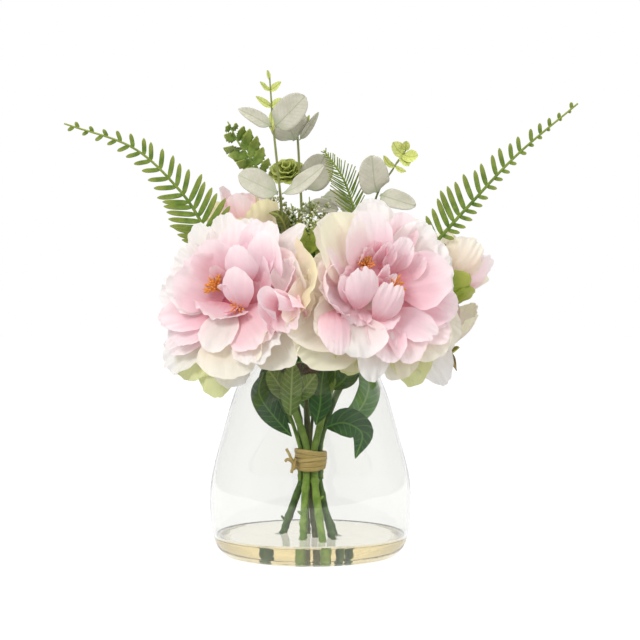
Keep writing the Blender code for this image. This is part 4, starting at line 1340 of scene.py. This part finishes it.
def right_peony() -> Flower:
    """Lays out the right peony: fully open, with a crowd of small petals and stamens in its middle.

    Returns:
        The flower.
    """
    return Flower("peony_right", (52, -38, 203), (0.35, -0.88, 0.20), {
        "petals_heart": [
            *whorl(6, 10, (1.5, 5.0), 17, 16, (78, 72), [DEEP], 20, 1.6),
            Petal((-25, -19, 12), 97, 40, 27, (6, 104), BLUSH, -40, 2.6, 2.4, 0, 3.5, 0.27),
            Petal((-32, -14, 12), 118, 26, 14, (20, 90), ROSE, -30, 1.2, 1.0),
            Petal((-12, -28, 12), 66, 37, 24, (14, 104), BLUSH, -34, 2.8, 3.4, 0, 3, 0.25),
            Petal((-12, 14, 9), 92, 24, 20, (30, 46), DEEP, 50, 3.0, 2.4),
            Petal((-16, 12, 9), 116, 22, 16, (34, 40), ROSE, 50, 3.0, 2.4),
            Petal((-7, 12, 9), 74, 26, 18, (30, 40), ROSE, 55, 2.6, 2.0),
            Petal((-9, 0, 10), 88, 26, 10, (16, 30), ROSE, 60, 2.2, 1.6),
            Petal((-5, -2, 10), 60, 22, 10, (12, 24), BLUSH, 60, 2.4, 1.6),
            Petal((-12, -4, 10), 110, 20, 10, (12, 20), DEEP, 60, 2.4, 1.6),
            Petal((-4, -8, 9), 250, 15, 14, (35, 20), DEEP, 45, 2.4, 2.0),
            Petal((-19, 2, 9), 150, 20, 14, (30, 35), DEEP, 50, 2.4, 2.0),
        ],
        "petals_inner": [
            Petal((-38, -5, 6), 198, 34, 46, (68, -2), ROSE, 62, 1.2, 1.0),
            Petal((2, 8, 8), 74, 34, 24, (36, 52), BLUSH, 66, 1.8, 1.4),
            Petal((10, 4, 8), 52, 28, 22, (40, 50), ROSE, 50, 2.0, 1.6),
            Petal((7, -3, 8), 8, 45, 46, (58, 38), ROSE, 44, 1.3, 1.0),
            Petal((0, -20, 8), 322, 41, 25, (60, 76), BLUSH, 28, 1.2, 1.4, 0, 4),
            Petal((-22, -3, 7), 176, 30, 30, (56, 40), ROSE, 44, 1.6, 1.2),
            Petal((-12, -19, 7), 270, 24, 34, (58, 34), ROSE, 40, 2.0, 1.6),
            Petal((-26, -11, 5), 246, 25, 32, (58, 62), ROSE, 40, 2.0, 1.8),
        ],
        "petals_middle": [
            Petal((-14, 7, 6), 104, 52, 40, (42, 72), BLUSH, 30, 1.3, 1.4, 16),
            Petal((4, 12, 5), 77, 44, 28, (54, 72), ROSE, 30, 1.4, 1.2),
            Petal((8, 9, 5), 54, 45, 36, (58, 66), WHITE, 32, 3.4, 2.6),
            Petal((9, -13, 6), 350, 45, 34, (66, 72), ROSE, 30, 1.4, 1.2),
            Petal((4, -17, 5), 330, 48, 34, (68, 74), ROSE, 28, 1.4, 1.2),
            Petal((-31, -22, 8), 272, 38, 44, (50, 80), WHITE, 28, 1.8, 1.4, 16),
            Petal((-44, -15, 8), 260, 45, 27, (36, 100), ROSE, -36, 1.2, 1.0),
            Petal((-5, -18, 6), 262, 46, 32, (62, 74), ROSE, 28, 1.6, 1.2),
            Petal((2, -17, 5), 284, 48, 34, (64, 76), ROSE, 28, 1.6, 1.4),
            Petal((-38, -16, 6), 232, 34, 30, (58, 80), ROSE, 26, 1.4, 1.0),
        ],
        "petals_outer": [
            Petal((-22, -2, 5), 121, 62, 46, (54, 76), IVORY, 34, 1.8, 1.2),
            Petal((-14, 6, 4), 138, 50, 40, (60, 66), BLUSH, 34, 1.4, 1.2),
            Petal((-5, 10, 3), 98, 52, 42, (62, 72), WHITE, 26, 2.0, 2.0),
            Petal((5, 10, 3), 66, 46, 38, (66, 68), WHITE, 28, 3.0, 2.6),
            Petal((10, 5, 3), 34, 44, 40, (68, 58), WHITE, 32, 3.2, 2.6),
            Petal((10, 0, 3), 12, 44, 42, (70, 54), WHITE, 32, 2.6, 2.0),
            Petal((8, -8, 3), 336, 46, 40, (74, 66), BLUSH, 28, 2.0, 1.6),
            Petal((5, -11, 3), 304, 56, 46, (74, 76), CREAM, 28, 2.2, 1.4),
            Petal((-14, -14, 4), 263, 61, 38, (66, 90), WHITE, 28, 2.4, 1.6, 14, 0, 0.5),
            Petal((-18, -8, 3), 214, 56, 40, (70, 74), CREAM, 30, 1.8, 1.2),
            Petal((-20, 0, 3), 178, 44, 46, (70, 54), BLUSH, 34, 1.6, 1.2),
        ],
        "petals_collar": [
            Petal((-14, -6, -1), 200, 74, 60, (84, 74), CREAM, 24, 1.4, 1.0),
            Petal((-13, -11, -1), 213, 73, 58, (85, 80), IVORY, 20, 1.6, 1.0),
            Petal((-6, -13, -2), 229, 58, 52, (86, 84), IVORY, 20, 1.8, 1.2),
            Petal((-4, -11, -1), 240, 62, 40, (86, 88), LIME, 26, 2.0, 1.4),
            Petal((1, -11, 0), 274, 60, 44, (84, 86), CREAM, 26, 2.2, 1.4),
            Petal((5, -11, -1), 286, 66, 40, (86, 90), LIME, 26, 2.0, 1.4),
            Petal((9, -8, -1), 299, 76, 32, (88, 92), WHITE, 26, 2.6, 1.8),
            Petal((9, -6, 0), 316, 60, 46, (84, 84), CREAM, 28, 2.2, 1.4),
            Petal((11, 0, 0), 346, 47, 44, (86, 72), WHITE, 28, 2.4, 1.8),
            Petal((10, 5, 0), 20, 47, 42, (82, 70), WHITE, 28, 3.0, 2.2),
            Petal((6, 9, 0), 56, 49, 42, (82, 76), WHITE, 28, 3.0, 2.4),
            Petal((-3, 11, 0), 96, 54, 42, (80, 82), WHITE, 24, 2.4, 2.0),
            Petal((-9, 7, 0), 132, 58, 46, (80, 78), CREAM, 28, 1.8, 1.4),
            Petal((-12, 0, 0), 170, 52, 48, (84, 70), CREAM, 30, 1.8, 1.4),
        ],
    }, PEONY_SLOTS, peony_sepals(), 1.0, (
        Tuft((-18, 12, 13), (-0.15, 0.3, 0.9), 26, 9, 4.5), Tuft((0, -4, 15), (0.45, 0.1, 0.85), 34, 9, 5.5),
        Tuft((-8, -10, 14), (-0.1, -0.4, 0.9), 18, 8, 3.0)))


def buds() -> list[Flower]:
    """Lays out the bud behind the left peony, and the two on the right, one of them with its back turned.

    Returns:
        The three buds.
    """
    sepals = whorl(5, 36, (3.2, -11.6), 21, 16, (64, 38), [LIME], 30, 0.5)
    return [
        Flower("bud_back_left", (-46, 25, 233), (-0.16, -0.25, 0.95), {
            "petals_inner": [Petal((-4, -3, 3), 200, 44, 30, (30, -6), ROSE, 40, 1.6, 1.4),
                             Petal((2, -5, 3), 270, 40, 30, (30, -16), ROSE, 44, 1.6, 1.4),
                             Petal((5, 2, 3), 30, 36, 30, (34, -22), BUTTER, 48, 1.2),
                             Petal((-2, 5, 3), 120, 36, 30, (34, -22), ROSE, 48, 1.2)],
            "petals_outer": [Petal((9, -2, 1), 338, 43, 38, (60, -6), BUTTER, 44, 2.0, 1.4),
                             Petal((1, -8, 1), 284, 32, 32, (60, -10), BUTTER, 44, 1.6, 1.2),
                             Petal((-6, -5, 1), 222, 34, 34, (66, 8), BUTTER, 42, 1.8, 1.4),
                             Petal((-8, 3, 1), 165, 38, 34, (66, 4), BUTTER, 42, 1.8, 1.4),
                             Petal((3, 8, 1), 70, 36, 34, (62, -10), BLUSH, 44, 1.6, 1.2)]},
            BUD_SLOTS, sepals, 1.05),
        Flower("bud_right", (101, 6, 203), (0.32, 0.62, 0.71), {
            "petals_inner": whorl(4, 20, (5.5, 3.2), 34, 30, (34, -16), [CREAM, BLUSH], 48, 1.6),
            "petals_outer": whorl(7, 35, (8.0, 0.6), 38, 32, (66, 4), [BLUSH, IVORY, CREAM], 38, 2.6)},
            BUD_SLOTS, whorl(6, 36, (3.2, -11.6), 26, 23, (72, 26), [LIME], 30, 1.2), 1.02),
        Flower("bud_low_right", (92.5, 13.5, 157.5), (0.06, -0.34, 0.94), {
            "petals_inner": whorl(4, 10, (5.5, 3.2), 32, 30, (34, -20), [BLUSH, BUTTER], 48, 1.6),
            "petals_outer": whorl(7, 15, (8.0, 0.6), 37, 30, (70, 4), [IVORY, BLUSH, IVORY], 40, 2.8)},
            BUD_SLOTS, sepals, 1.06),
    ]


# ---------------- leaves


@dataclass
class VaseLeaves:
    """The broad leaves on the peonies' stems, most of them seen through the glass."""

    leaves: dict[str, tuple[Blade, Finish, Finish]] = field(default_factory=lambda: {
        "leaf_long_left": (Blade(((-14, -12, 90), (-28, -14, 106), (-38, -14, 122), (-35, -11, 138)), 18,
                                 (0.3, -1, 0.3)), LEAF_TOP, LEAF_UNDER),
        "leaf_inner_left": (Blade(((-15, 3, 98), (-24, 3, 116), (-31, 6, 134), (-28, 6, 148)), 22,
                                  (0.1, -1, 0.1)), LEAF_TOP, LEAF_UNDER),
        "leaf_curled_right": (Blade(((24, 4, 100), (38, 4, 110), (44, 5, 128), (37, 6, 144)), 19,
                                    (0.3, -1, 0.0), Outline.OVAL, 0.3), LEAF_UNDER, LEAF_TOP),
        "leaf_folded": (Blade(((11, -15, 97), (25, -22, 101), (38, -25, 93), (33, -26, 75)), 22,
                              (0.0, -1, 0.35), Outline.LANCE, 0.42, 0.4), LEAF_TOP, LEAF_UNDER),
        "leaf_middle": (Blade(((4, -16, 99), (7, -19, 113), (8, -19, 128), (10, -17, 141)), 17,
                              (0.0, -1, 0.1)), LEAF_TOP, LEAF_UNDER),
        "leaf_back_inside": (Blade(((2, 23, 100), (-2, 31, 118), (-4, 33, 132), (-3, 29, 145)), 20,
                                   (0.0, 1, 0.2)), LEAF_TOP, LEAF_UNDER),
        "leaf_small_right": (Blade(((99, 17, 143), (101, 6, 149), (106, 3, 147), (110, 5, 138)), 8,
                                   (0.3, -1, 0.3)), LEAF_BROWN, LEAF_BROWN),
        "leaf_top_left": (Blade(((-18, 4, 242), (-20, -3, 249), (-24, -6, 255), (-31, -8, 257)), 10,
                                (0, -1, 0.4)), LEAF_DULL, LEAF_DULL),
        "leaf_rear": (Blade(((10, 44, 176), (16, 62, 190), (20, 76, 194), (22, 88, 188)), 32,
                            (0, 0.3, 1)), LEAF_TOP, LEAF_UNDER),
    })

    def build(self) -> None:
        """Makes a piece for each leaf, and one for the pale whorl and the dark brown scraps beside it, which are
        painted shade.
        """
        for number, (name, (blade, top, under)) in enumerate(self.leaves.items()):
            sketch = Sketch(name.replace("leaf", "cloth_leaf", 1))
            sketch.sheet(*blade.surface(number * 3.1), top)
            sketch.piece(name,
                         thickness=0.45, under=under)
        sketch = Sketch("cloth_leaf_whorl_front")
        for number, lobe in enumerate((((-16, -17, 119), (-23, -20, 129), (-31, -18, 140)),
                                       ((-15, -17, 106), (-14, -22, 126), (-13, -21, 146)),
                                       ((-12, -18, 119), (-4, -22, 127), (4, -24, 137)))):
            blade = Blade(lobe, 16, (0, -1, 0.2), Outline.OVAL, 0.25, 1.6)
            sketch.sheet(*blade.surface(number * 2.0), LEAF_OLIVE)
        # dark brown scraps set in the deep shade beside the whorl: painted shade
        for number, scrap in enumerate((((-6, -16, 137), (-16, -20, 144), (-28, -20, 146)),
                                        ((-6, -16, 137), (4, -20, 143), (15, -21, 146)))):
            blade = Blade(scrap, 10, (0, -1, 0.3), Outline.OVAL, 0.4, 2.4)
            sketch.sheet(*blade.surface(number * 5.0), LEAF_PAINTED_SHADE)
        sketch.piece("leaf_whorl_front", thickness=0.45)


CHALKY_ROUND = (Outline.ROUND, 0.14, 1.4, 0.0, 0.08)
CHALKY_OVAL = (Outline.OVAL, 0.16, 1.2, 0.0, 0.08)


@dataclass
class Eucalyptus:
    """Three eucalyptus stems with round chalky leaves in pairs, and small bright leaves at their tips."""

    pairs: dict[str, tuple[Blade, ...]] = field(default_factory=lambda: {
        "eucalyptus_pair_low": (
            Blade(((-24.5, 9.2, 271.5), (-37, 5, 277), (-54, 2, 285)), 25, (0.2, -0.8, 0.6), *CHALKY_ROUND),
            Blade(((-21.5, 9.2, 271.2), (-9, 3, 277), (10, -3, 292)), 17, (0.35, -0.6, 0.7), *CHALKY_OVAL)),
        "eucalyptus_pair_high": (
            Blade(((-29.5, 10.2, 321.5), (-39, 8, 327), (-54, 5, 334.5)), 13, (0.2, -1, 0.6), *CHALKY_OVAL),
            Blade(((-26.5, 10.2, 322), (-19, 7, 329), (-4, 3, 344)), 23, (-0.2, -1, 0.1), *CHALKY_ROUND)),
        "eucalyptus_pair_back": (
            Blade(((-11.5, 26.2, 312), (-16, 25, 322), (-20, 22, 337)), 29, (0.0, -1, 0.2), *CHALKY_ROUND),
            Blade(((-8.5, 26.2, 312), (-3, 24, 319), (6, 22, 333)), 6, (0.3, -1, 0.3), *CHALKY_OVAL)),
        "eucalyptus_pair_middle": (
            Blade(((-8, 36, 274.5), (-14, 44, 278), (-22, 56, 286)), 17, (0.3, 0.3, 1), *CHALKY_OVAL),
            Blade(((-5, 35, 274.8), (3, 35, 285), (11, 36, 301)), 24, (0.2, -1, 0.2), *CHALKY_ROUND),
            Blade(((8, 30, 269), (20, 24, 268), (34, 18, 256)), 13, (0.2, -1, 0.5), *CHALKY_OVAL),
            Blade(((-9, 28, 257), (6, 22, 262), (21, 18, 259)), 13, (0.0, -1, 0.6), *CHALKY_OVAL)),
        "eucalyptus_pair_right": (
            Blade(((50.6, 16.0, 272.5), (48, 13, 280), (46, 11, 300)), 23, (0.1, -1, 0.1), *CHALKY_ROUND),
            Blade(((52.6, 16.2, 270.5), (60, 13, 268), (79, 9, 262)), 16, (0.0, -1, 0.5), *CHALKY_ROUND)),
    })
    tips: dict[str, tuple[Blade, ...]] = field(default_factory=lambda: {
        "stem_eucalyptus_tall": (
            Blade(((-30.2, 14, 349), (-34, 11, 351), (-38, 8, 355)), 4.5, (0.2, -1, 0.5), Outline.OVAL),
            Blade(((-30.2, 14, 349), (-27, 11, 351), (-22, 8, 355)), 6, (0.2, -1, 0.5), Outline.OVAL),
            Blade(((-31, 14, 357), (-31.4, 13, 360), (-32.4, 12, 364)), 3, (0, -1, 0.2), Outline.OVAL),
            Blade(((-29.4, 14, 337), (-34, 11, 339), (-41, 8, 344)), 6, (0.2, -1, 0.5), Outline.OVAL),
            Blade(((-29.4, 14, 337), (-26, 11, 339), (-21, 8, 342)), 7, (-0.2, -1, 0.5), Outline.OVAL),
            Blade(((-28.4, 13, 318), (-29.5, 11, 324), (-29.5, 11, 333)), 4.5, (0, -1, 0.2), Outline.OVAL)),
        "stem_eucalyptus_right": (
            Blade(((70, 20, 301), (66, 17, 304), (62, 15, 310)), 11, (0.2, -1, 0.4), Outline.ROUND, 0.3, 1.6),
            Blade(((70, 20, 301), (75, 16, 299), (81, 13, 300)), 11, (0.2, -1, 0.4), Outline.ROUND, 0.3, 1.6),
            Blade(((69, 20, 299), (71, 15, 296), (74, 12, 292)), 8, (0.2, -1, 0.3), Outline.ROUND, 0.3, 1.6),
            Blade(((72, 20, 304), (72, 17, 307), (72, 15, 311)), 6, (0, -1, 0.2), Outline.ROUND),
            Blade(((64, 20, 292), (59, 17, 294), (55, 15, 300)), 5, (0, -1, 0.3), Outline.OVAL),
            Blade(((64, 20, 292), (68, 17, 289), (72, 15, 288)), 4, (0, -1, 0.3), Outline.OVAL)),
        "stem_eucalyptus_back": (
            Blade(((-10.4, 30, 320), (-9, 28, 330), (-8, 27, 343)), 4.5, (0, -1, 0.2), Outline.OVAL),
            Blade(((-10.4, 30, 318), (-4, 27, 324), (-1, 26, 331)), 4, (0, -1, 0.3), Outline.OVAL)),
    })

    def build(self) -> None:
        """Makes a piece for each stem with its tip leaves, and one for each pair."""
        for name, tips in self.tips.items():
            sketch = Sketch(name.replace("stem", "moulded", 1))
            STEMS[name].build(sketch)
            for number, blade in enumerate(tips):
                sketch.sheet(*blade.surface(number * 1.7, 10, 4), TIP_LEAF)
            sketch.piece(name)
        for number, (name, blades) in enumerate(self.pairs.items()):
            sketch = Sketch(name.replace("pair", "leaves", 1))
            for side, blade in enumerate(blades):
                sketch.sheet(*blade.surface(number * 4.1 + side, 20, 10), SILVER_TOP)
            sketch.piece(name, thickness=0.4, under=SILVER_UNDER)


# ---------------- fronds and fillers


@dataclass
class Frond:
    """A frond or sprig: a rib, and narrow leaflets on both of its sides."""

    name: str
    node: str
    slot: str
    rib: tuple[Point, ...]
    face: Point
    leaflets: int
    reach: float
    lean: float
    width: float
    rib_radius: float
    finish: Finish
    sides: tuple[float, float] = (1.0, 1.0)
    first: float = 0.75
    peak: float = 0.2
    outline: Outline = Outline.STRAP
    teeth: float = 0.0
    droop: float = 0.12
    scatter: float = 0.0

    def length_at(self, share: float) -> float:
        """Measures the leaflets along the rib.

        Args:
            share: the share of the way up the rib.

        Returns:
            Their length there.
        """
        if share < self.peak:
            return self.reach * (self.first + (1 - self.first) * share / self.peak)
        return self.reach * max(0.12, 1 - (share - self.peak) / (1 - self.peak)) ** 0.8

    def build(self) -> None:
        """Adds the rib and each leaflet."""
        sketch = Sketch(self.name)
        count = 60
        line = smooth_line(self.rib, count)
        sketch.tube(line, [self.rib_radius * (1 - 0.65 * i / count) for i in range(count + 1)], self.finish, 8)
        face = Vector(self.face).normalized()
        for number in range(self.leaflets):
            for hand in (1, -1):
                share = (number + 0.6 + (0.22 if hand < 0 else 0.0)) / (self.leaflets + 0.4)
                at = min(count - 1, int(share * count))
                along = (line[at + 1] - line[at]).normalized()
                side = along.cross(face).normalized() * hand
                jitter = wobble(number * 1.9, hand * 3.3, len(self.name))
                lean = math.radians(self.lean + 9 * jitter - 14 * share)
                out = side * math.sin(lean) + along * math.cos(lean)
                reach = self.length_at(share) * self.sides[hand < 0] * (1 + 0.12 * jitter)
                back = -face * reach * (self.droop + 0.10 * jitter)
                foot = line[at]
                turned = face + Vector((jitter, 0.5 * jitter, -1.5 * jitter)) * self.scatter
                blade = Blade(((*foot,), (*(foot + out * reach * 0.5 + along * reach * 0.03),),
                               (*(foot + out * reach + along * reach * 0.09 - back),)),
                              self.width * (0.55 + 0.45 * reach / self.reach), (*turned,), self.outline, 0.22,
                              0.5 + self.scatter, self.teeth)
                sketch.sheet(*blade.surface(number * 2.2 + hand, 10, 4), self.finish)
        sketch.piece(self.node, thickness=0.5)


def fronds() -> list[Frond]:
    """Lays out the two fern fronds, the leafy sprig and the needle sprig.

    Returns:
        The four fronds.
    """
    return [
        Frond("fern_left_moulded", "fern_frond_left", "fern_green",
              ((-71, -1, 226), (-80, -4, 247), (-98, -5, 274), (-132, -6, 305), (-183, -7, 323)),
              (0, -1, 0), 20, 27, 66, 4.4, 1.2, FERN, (1.0, 0.95)),
        Frond("fern_right_moulded", "fern_frond_right", "fern_green",
              ((92, -5.6, 233), (118, -6, 262), (154, -5, 300), (199, -4, 338)),
              (0, -1, 0), 18, 24, 70, 4.2, 1.2, FERN, (0.42, 1.0)),
        Frond("leafy_sprig_moulded", "leafy_sprig", "filler_green",
              ((-36.6, 31, 284), (-44, 29, 296), (-54, 28, 309), (-63, 27, 326)),
              (0.2, -1, 0.1), 6, 17, 62, 8.0, 0.9, FILLER_DARK, (1.0, 1.0), 0.6, 0.5, Outline.OVAL, 1.2, 0.35, 1.6),
        Frond("needle_sprig_moulded", "needle_sprig", "fern_green",
              ((36, 15, 240), (32, 17, 262), (24, 18, 284), (10, 19, 304)),
              (0.1, -1, 0.0), 26, 19, 50, 1.3, 0.9, FERN, (1.0, 1.0), 0.5, 0.4, Outline.NEEDLE),
    ]


@dataclass
class BerrySprig:
    """Sprays of tiny waxy berries and fine grass on thin twigs, low between the flowers."""

    sprays: tuple[tuple[Point, Point], ...] = (((1, 17, 226), (-1, 18, 269)), ((-4, 22, 224), (-15, 24, 264)),
                                               ((-8, 26, 224), (-31, 26, 274)), ((6, 20, 222), (15, 22, 268)),
                                               ((9, 22, 222), (27, 20, 261)), ((4, 16, 222), (6, 12, 252)))
    leaves: tuple[tuple[Point, ...], ...] = (((-1, 15, 226), (3, 11, 238), (10, 8, 247)),
                                             ((4, 14, 225), (13, 10, 233), (24, 7, 238)),
                                             ((0, 15, 226), (-7, 12, 237), (-10, 10, 250)),
                                             ((6, 16, 228), (9, 12, 238), (19, 9, 249)))
    forks: int = 6

    def build(self) -> None:
        """Makes sprays, each a twig with side twigs that end in berries, and toothed leaves at their foot."""
        sketch = Sketch("berry_sprays_moulded")
        for number, (low, high) in enumerate(self.sprays):
            self.spray(sketch, Vector(low), Vector(high), number)
        for number, midrib in enumerate(self.leaves):
            blade = Blade(midrib, 11, (0, -1, 0.4), Outline.OVAL, 0.3, 2.0, 0.6)
            sketch.sheet(*blade.surface(number * 2.7, 14), ROSETTE)
        sketch.piece("berry_sprig")

    def spray(self, sketch: Sketch, low: Vector, high: Vector, number: int) -> None:
        """Adds one spray.

        Args:
            sketch: what it is added to.
            low: where its twig starts.
            high: where its twig ends.
            number: a number of its own.
        """
        line = smooth_line((low, low.lerp(high, 0.5) + Vector((1.5 * wobble(number, 2), 0, 0)), high), 20)
        sketch.tube(line, [0.9 - 0.025 * i for i in range(21)], FILLER, 7)
        for fork in range(self.forks):
            for hand in range(3):
                angle = 2.4 * fork + math.tau * hand / 3 + number
                out = Vector((math.cos(angle), 0.6 * math.sin(angle), 0.7 + 0.5 * wobble(fork, hand))).normalized()
                start = line[6 + 2 * fork]
                end = start + out * (12 - fork)
                sketch.tube(smooth_line((start, start.lerp(end, 0.5) + Vector((0, 0, -0.8)), end), 5),
                            [0.4 - 0.03 * i for i in range(6)], FILLER, 5)
                for bead in range(4):
                    turn = bead * 2.4 + fork + hand
                    off = Vector((math.cos(turn), math.sin(turn), 0.6 * wobble(bead, fork, hand)))
                    where = start.lerp(end, 0.55 + 0.14 * bead) + off * 1.7
                    sketch.tube([start.lerp(end, 0.5 + 0.14 * bead), where], [0.22, 0.22], FILLER, 4)
                    sketch.bead(where, (off + Vector((0, 0, 0.7))).normalized(), (1.25, 0.95),
                                BERRY if (bead + hand + number) % 3 else FILLER, 6)
            foot = line[4 + fork]
            bend = foot + Vector((3 * wobble(fork, number), -2, 9))
            tip = foot + Vector((16 * wobble(number, fork), -3, 17))
            grass = Blade(((*foot,), (*bend,), (*tip,)), 2.6, (0, -1, 0.2), Outline.NEEDLE)
            sketch.sheet(*grass.surface(fork + number, 8, 4), LEAF_DULL)


@dataclass
class LeafyRosette:
    """The ruffled green rosette at the back, turned a little towards the viewer."""

    centre: Point = (-18, 44, 287)
    axis: Point = (-0.1, -0.75, 0.66)

    def build(self) -> None:
        """Sets small toothed leaves in four rings, steeper towards the middle."""
        sketch = Sketch("rosette_moulded")
        centre, ahead = Vector(self.centre), Vector(self.axis).normalized()
        right = Vector((0, 0, 1)).cross(ahead).normalized()
        up = ahead.cross(right)
        for ring, (count, reach, rise) in enumerate(((9, 15, 2), (8, 12, 6), (6, 8, 9), (4, 4, 11))):
            for i in range(count):
                angle = math.tau * (i + 0.5 * ring) / count
                out = right * math.cos(angle) + up * math.sin(angle) * 0.85
                tip = centre + out * reach * (1 + 0.2 * wobble(i, ring)) + ahead * (rise + 2 * wobble(ring, i))
                bend = centre + out * reach * 0.55 + ahead * rise * 0.5
                blade = Blade(((*centre,), (*bend,), (*tip,)), 11.5 - 1.6 * ring, (*(ahead - out * 0.3),),
                              Outline.OVAL, 0.3, 3.0, 0.9)
                sketch.sheet(*blade.surface(i * 1.3 + ring, 12, 8), ROSETTE)
        sketch.piece("green_rosette", thickness=0.5)


# ---------------- studio


@dataclass
class Studio:
    """A light table, a bright room, soft boxes and the camera."""

    camera_at: tuple[float, float, float] = (0.0071, -1.6, 0.25)
    camera_to: tuple[float, float, float] = (0.0071, 0.0, 0.1765)
    lens: float = 120.13
    sensor: float = 36.0
    ambient: float = 0.8
    lamps_aim_at: tuple[float, float, float] = (0.0, 0.0, 0.19)
    soft_boxes: tuple[tuple[str, Point, float, float], ...] = (
        ("key_soft_box", (-1.0, -1.2, 1.4), 0.7, 21.0), ("fill_soft_box", (1.4, -1.0, 0.5), 0.9, 5.0),
        ("top_soft_box", (0.2, 0.3, 1.7), 0.9, 11.0))

    def soft_box(self, name: str, place: Point, size: float, watts: float) -> None:
        """Adds a square lamp that looks at the flowers.

        Args:
            name: its name.
            place: where it stands, in metres.
            size: its side, in metres.
            watts: its power.
        """
        lamp = bpy.data.lights.new(name, "AREA")
        lamp.energy, lamp.size = watts, size
        obj = bpy.data.objects.new(name, lamp)
        obj.location = place
        obj.rotation_euler = (Vector(self.lamps_aim_at) - Vector(place)).to_track_quat("-Z", "Y").to_euler()
        obj.visible_glossy = obj.visible_transmission = False  # the glass does not mirror the lamps
        bpy.context.scene.collection.objects.link(obj)

    def build_room(self) -> None:
        """Makes a room that glass sees as white behind, grey at the sides and dim in front."""
        world = bpy.data.worlds.new("studio_room")
        world.use_nodes = True
        tree = world.node_tree
        tree.nodes.clear()
        spot = add_node(tree, "SeparateXYZ", None, {0: add_node(tree, "TexCoord").outputs["Generated"]})
        sideways = add_node(tree, "Math", {"operation": "ABSOLUTE"}, {0: spot.outputs["X"]})
        sides = add_node(tree, "MapRange", {"From Min": 0.4, "From Max": 0.9, "To Min": 1.0, "To Max": 0.58},
                         {"Value": sideways})
        front = add_node(tree, "MapRange", {"From Min": -0.8, "From Max": -0.25, "To Min": 0.1, "To Max": 1.0},
                         {"Value": spot.outputs["Y"]})
        path = add_node(tree, "LightPath")
        below = add_node(tree, "MapRange", {"From Min": 0.0, "From Max": -0.3}, {"Value": spot.outputs["Z"]})
        facing = add_node(tree, "Math", {"operation": "MAXIMUM"}, {0: front, 1: below})
        glassy = add_node(tree, "Math", {"operation": "MULTIPLY"}, {0: sides, 1: facing})
        soft = add_node(tree, "Mix", {"data_type": "FLOAT", 3: self.ambient},
                        {0: path.outputs["Is Diffuse Ray"], 2: glassy})
        seen = add_node(tree, "Math", {"operation": "MAXIMUM"}, {0: soft, 1: path.outputs["Is Camera Ray"]})
        room = add_node(tree, "Background", {"Color": (1, 1, 1, 1)}, {"Strength": seen})
        output = add_node(tree, "OutputWorld")
        tree.links.new(room.outputs[0], output.inputs["Surface"])
        bpy.context.scene.world = world

    def build(self) -> None:
        """Sets up the camera, the lights, the room and the floor."""
        scene = bpy.context.scene
        scene.view_settings.view_transform = "Standard"
        camera = bpy.data.cameras.new("camera")
        camera.lens, camera.sensor_width = self.lens, self.sensor
        obj = bpy.data.objects.new("camera", camera)
        obj.location = self.camera_at
        obj.rotation_euler = (Vector(self.camera_to) - Vector(self.camera_at)).to_track_quat("-Z", "Y").to_euler()
        scene.collection.objects.link(obj)
        scene.camera = obj
        self.build_room()
        for soft_box in self.soft_boxes:
            self.soft_box(*soft_box)
        self.build_table()

    def build_table(self) -> None:
        """Lays the white sheet that everything stands on."""
        mesh = bpy.data.meshes.new("table_sheet")
        wide, near, far = 1.5, -0.42, 3.0
        mesh.from_pydata([(-wide, near, 0), (wide, near, 0), (wide, far, 0), (-wide, far, 0)], [], [(0, 1, 2, 3)])
        mesh.materials.append(TABLE.material())
        floor = bpy.data.objects.new("table_sheet", mesh)
        bpy.context.scene.collection.objects.link(floor)


def build_flower_stems() -> None:
    """Makes the stems that carry flowers, ferns and the leafy sprig."""
    for name, stem in STEMS.items():
        if "eucalyptus" not in name:
            sketch = Sketch(name.replace("stem", "moulded_stem", 1))
            stem.build(sketch)
            sketch.piece(name)


def main() -> None:
    """Builds the studio and the arrangement, and notes how large it came out."""
    logging.basicConfig(level=logging.INFO, format="%(name)s: %(message)s")
    Studio().build()
    vase = GlassVase()
    vase.build()
    ResinPool(vase).build()
    RaffiaTie().build()
    build_flower_stems()
    for flower in (left_peony(), right_peony(), *buds()):
        flower.build()
    VaseLeaves().build()
    Eucalyptus().build()
    for frond in fronds():
        frond.build()
    BerrySprig().build()
    LeafyRosette().build()


if __name__ == "__main__":
    main()
